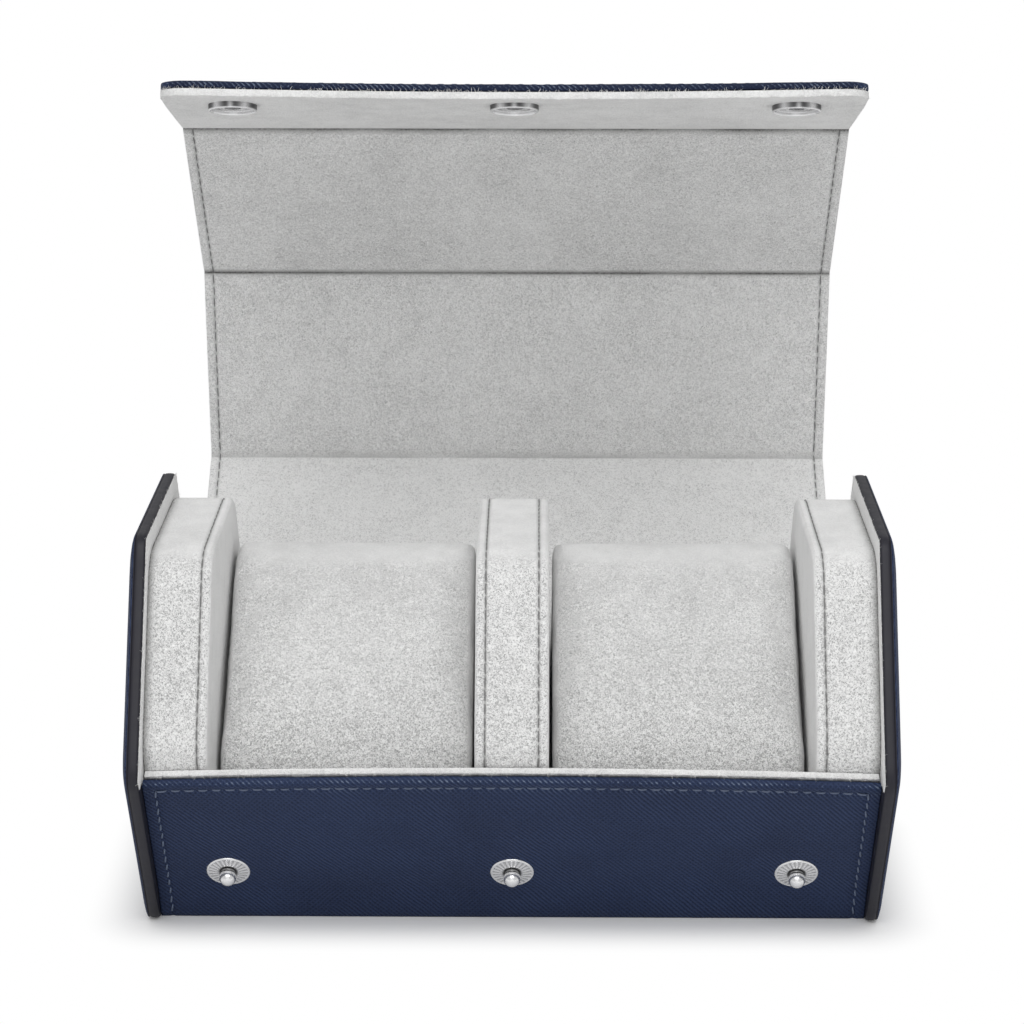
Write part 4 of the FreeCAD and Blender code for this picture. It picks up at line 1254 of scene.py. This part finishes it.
def make_cushions(sizes):
    """The two watch cushions."""
    for side in SIDES:
        piece = ring_piece(f"{side}_cushion", cushion_rings(side))
        swell_cushion(piece, sizes)
        bpy.ops.object.shade_smooth()
        # Painted shade: the cushions' suede is made a little darker
        mark_nap(piece, brush=-0.12)
        nodes = [f"{side}_cushion_cover", f"{side}_cushion_core"]
        put_on(piece, f"cushion_{side}", "grey_suede", material("brushed_suede"), *nodes)


# The lid


def lid_corners(sizes):
    """Corners of the lid's outer line, from the strip under the hinge to the flap's end."""
    places = [crease(name) for name in CREASES]
    points = packed_points("flap_leather") - places[-1]
    far = points[np.argmax(np.linalg.norm(points, axis=1))]
    thick = sizes.lid_board_depth
    turn = math.atan2(thick, math.sqrt(far @ far - thick**2))
    cos, sin = math.cos(turn), math.sin(turn)
    run = np.array([[cos, sin], [-sin, cos]]) @ far * cos
    strip = places[0] - toward(HINGE_RIM) * sizes.hinge_strip
    return [strip, *places, places[-1] + run]


def span_ends(marks, number):
    """Where a span of the lid starts and ends: the middles of the panels on both sides of its crease."""
    start = marks[0] if number == 0 else (marks[number] + marks[number + 1]) / 2
    end = (marks[number + 1] + marks[number + 2]) / 2 if number < len(CREASES) - 1 else None
    return start, end


def bend(piece, sizes, corners, number):
    """Bake a lid piece's transform into its mesh; the stretch where it would bend is worked out but not used.
    """
    zone = sizes.hinge_zone if number == 0 else sizes.crease_zone
    before, here, after = corners[number : number + 3]
    start = here + (before - here) / np.linalg.norm(before - here) * zone
    end = here + (after - here) / np.linalg.norm(after - here) * zone
    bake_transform(piece)


def panel_nodes(number, layer):
    """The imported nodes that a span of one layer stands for."""
    return [f"{body}_{layer}" for body in LID_BODIES[number : number + 2] if body != "base"]


def flap_run(lid):
    """The direction along the flap to its end."""
    return (lid[-1] - lid[-2]) / np.linalg.norm(lid[-1] - lid[-2])


def flap_inward(lid):
    """The direction from the flap's leather into the case."""
    run = flap_run(lid)
    return np.array([-run[1], run[0]])


def hung_row(spot, hang, places):
    """A row of points along X at one spot of the flap, moved as the flap hangs."""
    spot = np.array([spot])
    return np.array([(x, *(spot + hang(spot, None, x))[0]) for x in places])


def flap_hang(sizes, lid):
    """How the flap's end hangs in the middle and draws back at its rounded corners."""
    run, inward = flap_run(lid), flap_inward(lid)
    reach_end = np.linalg.norm(lid[-1] - lid[-2])

    def hang(points, along, x):
        out = (points - lid[-2]) @ run
        near = np.linalg.norm(points - lid[-1], axis=1) < 24 * MM
        low = sizes.sag * (0.6 - (x / LID_HALF) ** 2) * ease(out, reach_end - 12 * MM, reach_end) * near
        inside_edge = sizes.flap_corner - min(sizes.flap_corner, LID_HALF - abs(x))
        back = sizes.flap_corner - math.sqrt(sizes.flap_corner**2 - inside_edge**2)
        short = back * ease(out, reach_end - 22 * MM, reach_end - 2 * MM) * near
        return np.outer(low, inward) - np.outer(short, run)

    return hang


def make_lid_leather(sizes):
    """The lid's leather, bent at each crease and rolled over the flap's end, with its sewing."""
    lid = lid_corners(sizes)
    run, inward = flap_run(lid), flap_inward(lid)
    hem = [lid[-1] + inward * sizes.roll, lid[-1] + inward * sizes.roll - run * sizes.tuck]
    corners = lid + hem
    deep = inside(corners, sizes.leather)
    half = LID_HALF - 0.1 * MM
    edge = half - sizes.lining_margin
    whole = Line(corners, soft=sizes.fold)
    end_mark = whole.marks[len(lid) - 1]
    seam = end_mark - sizes.leather_margin

    def swell(along, x):
        side = abs(x) - edge
        by_side = bell(side, SEAM_WIDTH) * (along < seam)
        by_end = bell(along - seam, SEAM_WIDTH) * (side < 0)
        drawn = sizes.seam_depth * np.maximum(by_side, by_end)
        nearest = np.abs(np.asarray(along)[:, None] - whole.marks[1:-3]).min(1)
        puff = 0.35 * MM * (1 - np.exp(-nearest / (9 * MM))) * (along < end_mark - 6 * MM)
        wave = 0.10 * MM * ripples(x, along, 12 * MM, 4.0) * (along > end_mark - 12 * MM)
        return puff + wave - drawn - rounded_edge(x, half, sizes.edge_round)

    def hidden(along, x):
        return np.full(len(along), -rounded_edge(x, half, 0.15 * MM))

    # Painted highlight along the fold round the flap's end
    def wear_and_fold_highlight(along, x):
        return 0.6 * bell(along - end_mark - 0.45 * sizes.roll, 0.35 * MM)

    hang = flap_hang(sizes, lid)
    places = spread_x(half, EDGE_STEPS, 3 * MM)
    inner_marks = Line(deep).marks
    for number, name in enumerate(SPAN_NAMES):
        last = number == len(SPAN_NAMES) - 1
        start, end = span_ends(whole.marks, number)
        soft = 0.8 * MM if last else sizes.fold
        outer = Line(corners, start, end, soft=soft, dense=[seam] if last else ())
        inner = Line(deep, *span_ends(inner_marks, number), soft=0.25 * MM)
        piece = sheet_piece(f"lid_leather_{name}", places, outer, inner, swell, hidden, hang, (wear_and_fold_highlight, still))
        # Painted shade: the leather rolled round the flap's end is made darker
        rolled = (vertex_places(piece)[:, 1:] - lid[-1]) @ run
        mark(piece, "brush", -0.5 * ease(rolled, -2 * MM, -0.5 * MM))
        nodes = panel_nodes(number, "leather") + panel_nodes(number, "board")
        put_on(piece, None, "navy_leather", material("cross_grain_leather"), *nodes)
        bend(piece, sizes, lid, number)

        distances = np.linspace(start, seam if last else end, 90)
        spots = outer.at(distances)
        ahead = outer.at(distances + LOOK_AHEAD) - spots
        out = np.column_stack([np.zeros(len(spots)), ahead[:, 1], -ahead[:, 0]])
        hung = spots + hang(spots, distances, edge)
        rows = [(lifted(hung, sign * edge), out, sign * SIDE_SLANT) for sign in SIDES.values()]
        if last:
            row = hung_row(spots[-1], hang, np.linspace(-edge, edge, 60))
            rows.append((row, [out[-1]] * len(row), 0.0))
        stitching = sew(f"lid_leather_stitching_{name}", sizes, rows, "navy_thread")
        bend(stitching, sizes, lid, number)


STUD_HOLE_RADIUS = 2.33 * MM
STUD_HOLE_DEPTH = 9 * MM


def snap_line(lid):
    """Where the snaps stand on the flap's outer line."""
    run = flap_run(lid)
    distances = (packed_points("snap_caps") - lid[-2]) @ run
    return lid[-2] + run * (distances.min() + distances.max()) / 2


def cut_stud_holes(piece, lid):
    """Cut the holes through which the press studs enter their sockets."""
    run = flap_run(lid)
    for x in snap_places():
        bpy.ops.mesh.primitive_cylinder_add(
            vertices=32,
            radius=STUD_HOLE_RADIUS,
            depth=STUD_HOLE_DEPTH,
            location=(x, *snap_line(lid)),
            rotation=(math.atan2(run[1], run[0]), 0, 0),
        )
        punch = bpy.context.object
        hole = piece.modifiers.new("hole", "BOOLEAN")
        hole.operation, hole.solver, hole.object = "DIFFERENCE", "EXACT", punch
        bpy.context.view_layer.objects.active = piece
        bpy.ops.object.modifier_apply(modifier="hole")
        bpy.data.objects.remove(punch)


# Half the width of the painted shade along each crease of the lining in front of the hinge
CREASE_LINES = np.array([0.4, 0.45, 0.8]) * MM


def make_lid_lining(sizes):
    """The lid's suede lining, pressed in at the creases and sewn along both sides."""
    lid = lid_corners(sizes)
    run, inward = flap_run(lid), flap_inward(lid)
    end = lid[-1] + run * 0.25 * MM
    lip = [
        end + inward * sizes.lid_board_depth - run * (sizes.lip + 0.4 * MM),
        end + inward * sizes.lip_back - run * sizes.lip,
        end + inward * sizes.lip_back,
    ]
    back = np.vstack([inside(lid, sizes.lid_board_depth)[:-1], lip])
    face = np.vstack([inside(lid, sizes.lid_depth)[:-1], end + inward * (sizes.lid_depth + 0.15 * MM)])
    marks, back_marks = Line(face).marks, Line(back).marks
    creases, flap_mark, back_end = marks[2:5], marks[4], back_marks[-1]
    edge = LID_HALF - sizes.lining_margin

    def swell(along, x):
        off = np.abs(np.asarray(along)[:, None] - creases)
        sunk = (sizes.crease_depth * bell(off, sizes.crease_width)).max(1)
        puff = 0.12 * MM * (1 - np.exp(-off.min(1) / (5 * MM)))
        drawn = 0.9 * sizes.seam_depth * bell(abs(x) - edge, SUEDE_SEAM_WIDTH) * (along < flap_mark)
        frayed = 0.2 * MM * ripples(x, along, 0.8 * MM, 6.0) * (along > marks[-1] - 1.6 * MM)
        loose = 0.06 * MM * ripples(x, along, 22 * MM, 7.0)
        return puff + loose + frayed - sunk - drawn - rounded_edge(x, LID_HALF, sizes.edge_round)

    # Painted shade along each crease and, fainter, along each row of stitches
    def pressed(along, x):
        off = (np.abs(np.asarray(along)[:, None] - creases) / CREASE_LINES).min(1)
        uneven = 1.0 + 0.5 * ripples(x, along, 14 * MM, 9.0)
        sewn = 0.3 * bell(abs(x) - edge, 0.4 * MM) * (along < flap_mark)
        return np.maximum(bell(off, 1) * uneven, sewn)

    def turned_over(along, x):
        depth = (sizes.lid_board_depth - 0.8 * MM) * (abs(x) > LID_HALF - 0.2 * MM)
        return depth * (1 - ease(along, back_end - 9 * MM, back_end - 6 * MM))

    hang = flap_hang(sizes, lid)
    for number, name in enumerate(SPAN_NAMES):
        last = number == len(SPAN_NAMES) - 1
        places = spread_x(LID_HALF, EDGE_STEPS, 0.9 * MM if last else 3 * MM)
        start, stop = span_ends(marks, number)
        inner = Line(face, start, stop, soft=0.3 * MM)
        outer = Line(back, *span_ends(back_marks, number), soft=0.3 * MM)
        marked = (still, pressed)
        piece = sheet_piece(f"lid_lining_{name}", places, outer, inner, turned_over, swell, hang, marked)
        if last:
            cut_stud_holes(piece, lid)
        mark_lid_nap(piece, lid)
        put_on(piece, None, "grey_suede", material("brushed_suede"), *panel_nodes(number, "lining"))
        bend(piece, sizes, lid, number)

        distances = np.linspace(start, flap_mark if last else stop, 90)
        spots = inner.at(distances)
        ahead = inner.at(distances + LOOK_AHEAD) - spots
        out = np.column_stack([np.zeros(len(spots)), -ahead[:, 1], ahead[:, 0]])
        out /= np.linalg.norm(out, axis=1)[:, None]
        hung = spots + hang(spots, distances, edge)
        rows = [(lifted(hung, sign * edge) - out * 0.12 * MM, out, 0.0) for sign in SIDES.values()]
        stitching = sew(f"lid_lining_stitching_{name}", sizes, rows, "grey_thread")
        bend(stitching, sizes, lid, number)

    across = np.linspace(-LID_HALF + 0.3 * MM, LID_HALF - 0.3 * MM, 160)
    row = hung_row(end + inward * sizes.lip_back, hang, across)
    out = np.array([0, *(run * 0.7 - inward)])
    fringe("flap_edge_fringe", row, [out] * len(row), 420, 1.2 * MM, "flap", 31)
    row = hung_row(end + inward * (sizes.lid_depth + 0.1 * MM), hang, across)
    out = np.array([0, *run])
    fringe("flap_lining_fringe", row, [out] * len(row), 900, 0.8 * MM, "flap", 32)


# The press studs

TURN_STEPS = 96
STUD_SINK = 0.12 * MM
STUD_PLATE_RADIUS = 5.3 * MM
STUD_BALL_HEIGHT, STUD_BALL_RADIUS = 2.2 * MM, 2.05 * MM
STUD_NECK_RADIUS = 1.85 * MM
RAYS = 24
RAY_INNER, RAY_OUTER, RAY_RISE = 2.6 * MM, 4.7 * MM, 0.07 * MM
CAP_DOME_RADIUS, CAP_DOME_RISE = 6.2, 0.4
# Outlines as radius and height in millimetres
STUD_PLATE = [
    (5.1, -0.1), (5.3, 0.05), (5.32, 0.25), (5.2, 0.48), (5.0, 0.58), (4.8, 0.60), (4.65, 0.52),
    (4.4, 0.54), (3.9, 0.62), (3.3, 0.70), (2.8, 0.76), (2.5, 0.78), (2.25, 0.70), (2.0, 0.55),
    (1.75, 0.55), (1.55, 0.7), (1.45, 0.95), (1.4, 1.2), (1.48, 1.4),
]
CAP_RIM = [(2.0, -0.3), (6.0, -0.3), (6.25, -0.1), (6.3, 0.1), (6.2, 0.36)]
SOCKET_LOOP = [
    (5.85, -0.2), (5.92, 0.1), (5.92, 0.6), (5.9, 1.3), (5.84, 1.6), (5.72, 1.74), (5.56, 1.74),
    (5.46, 1.6), (5.42, 1.1), (5.34, 0.8), (5.0, 0.62), (4.2, 0.56), (3.6, 0.7), (3.2, 1.0),
    (2.9, 1.1), (2.6, 1.05), (2.42, 0.8), (2.36, 0.3), (2.45, -0.2),
]


def in_metres(outline):
    """An outline given in millimetres."""
    return [(radius * MM, height * MM) for radius, height in outline]


def turned(name, profile, origin, outward, ridge=None, painted_dark=None):
    """A turned piece from an outline of radius and height, standing on an origin along an outward direction.

    The ridge raises it by radius and step round, and the last function paints shade and dark reflections
    on it by radius, height and angle.
    """
    up = np.array(outward) / np.linalg.norm(outward)
    side = np.array([1.0, 0.0, 0.0])
    across = np.cross(up, side)
    around = np.linspace(0, 2 * math.pi, TURN_STEPS + 1)[:-1]
    rings = []
    for radius, height in profile:
        lift = np.array([height + (ridge(radius, index) if ridge else 0) for index in range(TURN_STEPS)])
        spokes = np.outer(np.cos(around), side) + np.outer(np.sin(around), across)
        rings.append(origin + spokes * radius + np.outer(lift, up))
    piece = ring_piece(name, rings)
    if painted_dark:
        flat = vertex_places(piece) - origin
        radius = np.hypot(flat @ side, flat @ across)
        mark(piece, "pressed", painted_dark(radius, flat @ up, np.arctan2(flat @ across, flat @ side)))
    return piece


def join(name, pieces):
    """Join like pieces into one."""
    bpy.ops.object.select_all(action="DESELECT")
    for piece in pieces:
        piece.select_set(True)
    bpy.context.view_layer.objects.active = pieces[0]
    bpy.ops.object.join()
    pieces[0].name = pieces[0].data.name = name
    return pieces[0]


def arc_points(centre, radius, start, end, count):
    """Points of an arc, as radius and height, between two angles in degrees."""
    return [
        (centre[0] + radius * math.cos(a), centre[1] + radius * math.sin(a))
        for a in np.radians(np.linspace(start, end, count))
    ]


def snap_places():
    """Places of the studs on the front wall and of the snaps on the flap, along X."""
    low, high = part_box("press_stud_posts")
    return [low.x + STUD_PLATE_RADIUS, (low.x + high.x) / 2, high.x - STUD_PLATE_RADIUS]


def make_studs():
    """The press studs on the front wall: a rayed plate, a neck and a ball."""
    spans = (packed_points("press_stud_posts") - MIDDLE) @ toward(RIM)
    front = toward(FRONT_LOW) * (reach("body_leather", FRONT_LOW) - STUD_SINK)
    spot = MIDDLE + front + toward(RIM) * (spans.min() + spans.max()) / 2
    on_ray = TURN_STEPS // RAYS

    def sunburst(radius, index):
        raised = 1 if index % on_ray < on_ray / 2 else -1
        return RAY_RISE * raised if RAY_INNER < radius < RAY_OUTER else 0

    # Painted shade round the stud's neck, and painted dark strokes on the rays
    def neck_and_ray_shade(radius, height, angle):
        round_neck = bell(radius - STUD_NECK_RADIUS, 0.5 * MM) * (height < 1.3 * MM)
        rays = (np.cos(RAYS * angle - 0.4) < -0.2) * (radius > RAY_INNER) * (radius < RAY_OUTER)
        return np.maximum(round_neck, 0.4 * rays)

    ball = arc_points((0, STUD_BALL_HEIGHT), STUD_BALL_RADIUS, -35, 88, 18)
    outline = in_metres(STUD_PLATE) + ball
    out = np.array([0, *toward(FRONT_LOW)])
    made = [
        turned("stud", outline, np.array([x, *spot]), out, sunburst, neck_and_ray_shade) for x in snap_places()
    ]
    put_on(join("press_studs", made), "base", "snap_metal", material("plated_metal"), "press_stud_posts")


def make_snap_domes(lid):
    """The caps of the snaps on the outside of the flap."""
    sweep = np.radians(np.linspace(8, 89, 12))
    dome = [(CAP_DOME_RADIUS * math.cos(a), CAP_DOME_RISE * (1 + math.sin(a))) for a in sweep]
    outline = in_metres(CAP_RIM + dome)
    out = np.array([0, *-flap_inward(lid)])
    made = [turned("cap", outline, np.array([x, *snap_line(lid)]), out) for x in snap_places()]
    put_on(join("snap_domes", made), "flap", "snap_metal", material("plated_metal"), "snap_caps")


def make_socket(origin, up, ahead):
    """One socket: a ring with a bowl round the hole that takes the stud, with painted reflections on its
    wall.
    """
    side = np.array([1.0, 0.0, 0.0])
    across = np.cross(up, side)
    rings = []
    for a in np.linspace(0, 2 * math.pi, TURN_STEPS + 1)[:-1]:
        spoke = side * math.cos(a) + across * math.sin(a)
        rings.append(np.array([origin + spoke * r + up * h for r, h in in_metres(SOCKET_LOOP)]))
    piece = ring_piece("socket", rings, closed=True)
    flat = vertex_places(piece) - origin
    radius, height = np.hypot(flat @ side, flat @ across), flat @ up
    angle = np.arctan2(flat @ side, flat @ ahead)
    # Painted reflections: the outer wall is dark but for painted glints, and the bowl is painted a little
    # darker
    glints = np.maximum(bell(np.abs(angle) - 0.62, 0.22), 0.7 * bell(angle, 0.1))
    wall = 0.9 * (radius > 5.5 * MM) * (1 - ease(height, 1.45 * MM, 1.65 * MM)) * (1 - 0.9 * glints)
    mark(piece, "pressed", np.maximum(wall, 0.25 * (radius < 5.44 * MM)))
    return piece


def make_snaps(sizes):
    """The press studs on the front wall, and the caps and sockets on the flap."""
    make_studs()
    lid = lid_corners(sizes)
    make_snap_domes(lid)
    run, inward = flap_run(lid), flap_inward(lid)
    face = snap_line(lid) + inward * sizes.lid_depth
    up, ahead = np.array([0, *inward]), np.array([0, *run])
    made = [make_socket(np.array([x, *face]), up, ahead) for x in snap_places()]
    put_on(join("snap_rings", made), "flap", "snap_metal", material("plated_metal"), "snap_sockets")


def dress_inner_parts():
    """Give the boards, rivets and springs that stay as packed their finishes."""
    for name, node in frame["nodes"].items():
        if node.hide_render:
            continue
        finish = "plated_metal" if name in ("press_stud_rivets", "snap_springs") else "greyboard"
        node.data.materials.clear()
        node.data.materials.append(material(finish))


# The stage


def white_to_camera(tree, shade):
    """A shader for all light but the camera's own rays, which a second shader will take."""
    path = tree.nodes.new("ShaderNodeLightPath")
    mix = tree.nodes.new("ShaderNodeMixShader")
    tree.links.new(path.outputs["Is Camera Ray"], mix.inputs["Fac"])
    tree.links.new(shade, mix.inputs[1])
    return mix


def table_shader(tree, stage, colours):
    """The table: plain for light, and for the camera a shadow that fades to white away from the case."""
    plain = tree.nodes.new("ShaderNodeBsdfDiffuse")
    plain.inputs["Color"].default_value = (*colours.floor, 1)
    shown = tree.nodes.new("ShaderNodeBsdfDiffuse")
    shown.inputs["Color"].default_value = (stage.shadow,) * 3 + (1,)
    lift = tree.nodes.new("ShaderNodeEmission")
    lift.inputs["Strength"].default_value = stage.lift
    near = tree.nodes.new("ShaderNodeAddShader")
    white = tree.nodes.new("ShaderNodeEmission")
    white.inputs["Strength"].default_value = 1
    tree.links.new(shown.outputs[0], near.inputs[0])
    tree.links.new(lift.outputs[0], near.inputs[1])
    place = tree.nodes.new("ShaderNodeTexCoord")
    split = tree.nodes.new("ShaderNodeSeparateXYZ")
    tree.links.new(place.outputs["Object"], split.inputs[0])
    beyond = []
    for axis, half in ((0, CAP_INNER_X), (1, MIDDLE[1] / math.sqrt(3))):
        along = Field(tree, split.outputs[axis])
        beyond.append((along.maths("ABSOLUTE", along) - half).larger(0))
    away = (beyond[0] ** 2 + beyond[1] ** 2) ** 0.5
    ramp = ((away - stage.fade_start) * (1 / stage.fade_length)).clamped()
    fade = ramp * ramp * (3 - ramp * 2)
    far = tree.nodes.new("ShaderNodeMixShader")
    tree.links.new(fade.socket, far.inputs["Fac"])
    tree.links.new(near.outputs[0], far.inputs[1])
    tree.links.new(white.outputs[0], far.inputs[2])
    mix = white_to_camera(tree, plain.outputs[0])
    tree.links.new(far.outputs[0], mix.inputs[2])
    return mix


TABLE_SIZE = 12
SENSOR_WIDTH = 36
KEY_LAMP = {"place": (0, -0.48, 0.87), "target": (0, 0.03, 0.08), "size": 0.9}
FILL_LAMP = {"place": (0, -1.1, 0.35), "target": (0, 0, 0.08), "size": 0.8}


def make_table(stage, colours):
    """The white table that the case stands on."""
    bpy.ops.object.select_all(action="DESELECT")
    bpy.ops.mesh.primitive_plane_add(size=TABLE_SIZE)
    floor = bpy.context.object
    floor.name = "floor"
    table = bpy.data.materials.new("table")
    table.use_nodes = True
    tree = table.node_tree
    tree.nodes.clear()
    mix = table_shader(tree, stage, colours)
    out = tree.nodes.new("ShaderNodeOutputMaterial")
    tree.links.new(mix.outputs[0], out.inputs["Surface"])
    floor.data.materials.append(table)


def make_surroundings(stage):
    """Even light from all round, which the camera sees as white."""
    world = bpy.data.worlds.new("studio")
    bpy.context.scene.world = world
    world.use_nodes = True
    tree = world.node_tree
    tree.nodes.clear()
    light = tree.nodes.new("ShaderNodeBackground")
    light.inputs["Strength"].default_value = stage.ambient
    white = tree.nodes.new("ShaderNodeBackground")
    white.inputs["Strength"].default_value = 1
    for node in (light, white):
        node.inputs["Color"].default_value = (1, 1, 1, 1)
    mix = white_to_camera(tree, light.outputs[0])
    tree.links.new(white.outputs[0], mix.inputs[2])
    out = tree.nodes.new("ShaderNodeOutputWorld")
    tree.links.new(mix.outputs[0], out.inputs["Surface"])


def make_camera(stage):
    """The camera in front of the case, looking slightly down at it."""
    cos, sin = math.cos(stage.elevation), math.sin(stage.elevation)
    yaw = Matrix.Rotation(-stage.yaw, 3, "Z")
    right, up, back = Vector((1, 0, 0)), Vector((0, sin, cos)), Vector((0, -cos, sin))
    lens = bpy.data.cameras.new("camera")
    lens.lens = stage.lens
    lens.sensor_width = SENSOR_WIDTH
    camera = bpy.data.objects.new("camera", lens)
    bpy.context.scene.collection.objects.link(camera)
    camera.location = yaw @ (right * stage.side_shift + up * stage.rise + back * stage.distance)
    camera.location.z += MIDDLE[1]
    camera.rotation_euler = (yaw @ Matrix((right, up, back)).transposed()).to_euler()
    bpy.context.scene.camera = camera


def make_stage(stage, colours):
    """A white table, soft light from above and in front, and the camera."""
    make_table(stage, colours)
    make_surroundings(stage)
    add_lamp("key", stage.key, **KEY_LAMP)
    add_lamp("fill", stage.fill, **FILL_LAMP)
    make_camera(stage)
    bpy.context.scene.view_settings.view_transform = "Standard"


def add_lamp(name, watts, place, target, size):
    """A square lamp that faces a target."""
    bpy.ops.object.light_add(type="AREA", location=place)
    lamp = bpy.context.object
    lamp.name = name
    lamp.data.size = size
    lamp.data.energy = watts
    lamp.rotation_euler = (Vector(target) - Vector(place)).to_track_quat("-Z", "Y").to_euler()


# Operators, panel and main


class WATCHCASE_OT_wrap(bpy.types.Operator):
    """Leather round the body, rolled over the front wall's edge"""

    bl_idname = "watchcase.wrap"
    bl_label = "Body leather"

    def execute(self, context):
        make_wrap(context.scene.case_sizes)
        return {"FINISHED"}


class WATCHCASE_OT_lining(bpy.types.Operator):
    """Suede inside the body's walls"""

    bl_idname = "watchcase.lining"
    bl_label = "Body lining"

    def execute(self, context):
        make_lining(context.scene.case_sizes)
        return {"FINISHED"}


class WATCHCASE_OT_end_caps(bpy.types.Operator):
    """Lining, painted edge and domed leather of both end caps"""

    bl_idname = "watchcase.end_caps"
    bl_label = "End caps"

    def execute(self, context):
        make_end_caps()
        return {"FINISHED"}


class WATCHCASE_OT_pads(bpy.types.Operator):
    """Upholstered end pads and the divider"""

    bl_idname = "watchcase.pads"
    bl_label = "Pads and divider"

    def execute(self, context):
        make_pads(context.scene.case_sizes)
        return {"FINISHED"}


class WATCHCASE_OT_cushions(bpy.types.Operator):
    """Swollen watch cushions"""

    bl_idname = "watchcase.cushions"
    bl_label = "Cushions"

    def execute(self, context):
        make_cushions(context.scene.case_sizes)
        return {"FINISHED"}


class WATCHCASE_OT_lid_leather(bpy.types.Operator):
    """Leather of the folding lid"""

    bl_idname = "watchcase.lid_leather"
    bl_label = "Lid leather"

    def execute(self, context):
        make_lid_leather(context.scene.case_sizes)
        return {"FINISHED"}


class WATCHCASE_OT_lid_lining(bpy.types.Operator):
    """Suede lining of the folding lid"""

    bl_idname = "watchcase.lid_lining"
    bl_label = "Lid lining"

    def execute(self, context):
        make_lid_lining(context.scene.case_sizes)
        return {"FINISHED"}


class WATCHCASE_OT_snaps(bpy.types.Operator):
    """Press studs, sockets and caps"""

    bl_idname = "watchcase.snaps"
    bl_label = "Press studs"

    def execute(self, context):
        make_snaps(context.scene.case_sizes)
        return {"FINISHED"}


class WATCHCASE_OT_inner_parts(bpy.types.Operator):
    """Finishes of the boards, rivets and springs"""

    bl_idname = "watchcase.inner_parts"
    bl_label = "Inner parts"

    def execute(self, context):
        dress_inner_parts()
        return {"FINISHED"}


class WATCHCASE_OT_stage(bpy.types.Operator):
    """White table, soft light and camera"""

    bl_idname = "watchcase.stage"
    bl_label = "Stage"

    def execute(self, context):
        make_stage(context.scene.case_stage, context.scene.case_colours)
        return {"FINISHED"}


OPERATORS = (
    WATCHCASE_OT_wrap,
    WATCHCASE_OT_lining,
    WATCHCASE_OT_end_caps,
    WATCHCASE_OT_pads,
    WATCHCASE_OT_cushions,
    WATCHCASE_OT_lid_leather,
    WATCHCASE_OT_lid_lining,
    WATCHCASE_OT_snaps,
    WATCHCASE_OT_inner_parts,
    WATCHCASE_OT_stage,
)


class WATCHCASE_PT_sidebar(bpy.types.Panel):
    """Lists the case's pieces"""

    bl_idname = "WATCHCASE_PT_sidebar"
    bl_label = "Watch case"
    bl_space_type = "VIEW_3D"
    bl_region_type = "UI"
    bl_category = "Watch case"

    def draw(self, context):
        for operator in OPERATORS:
            self.layout.operator(operator.bl_idname)
        for group in (context.scene.case_sizes, context.scene.case_colours, context.scene.case_stage):
            for name in group.__annotations__:
                self.layout.prop(group, name)


GROUPS = {"case_sizes": CaseSizes, "case_colours": CaseColours, "case_stage": CaseStage}


def register():
    for item in (*GROUPS.values(), *OPERATORS, WATCHCASE_PT_sidebar):
        bpy.utils.register_class(item)
    for name, group in GROUPS.items():
        setattr(bpy.types.Scene, name, bpy.props.PointerProperty(type=group))


def unregister():
    for name in GROUPS:
        delattr(bpy.types.Scene, name)
    for item in (WATCHCASE_PT_sidebar, *OPERATORS[::-1], *GROUPS.values()):
        bpy.utils.unregister_class(item)


def main():
    register()
    for operator in OPERATORS:
        module, name = operator.bl_idname.split(".")
        getattr(getattr(bpy.ops, module), name)()


if __name__ == "__main__":
    main()
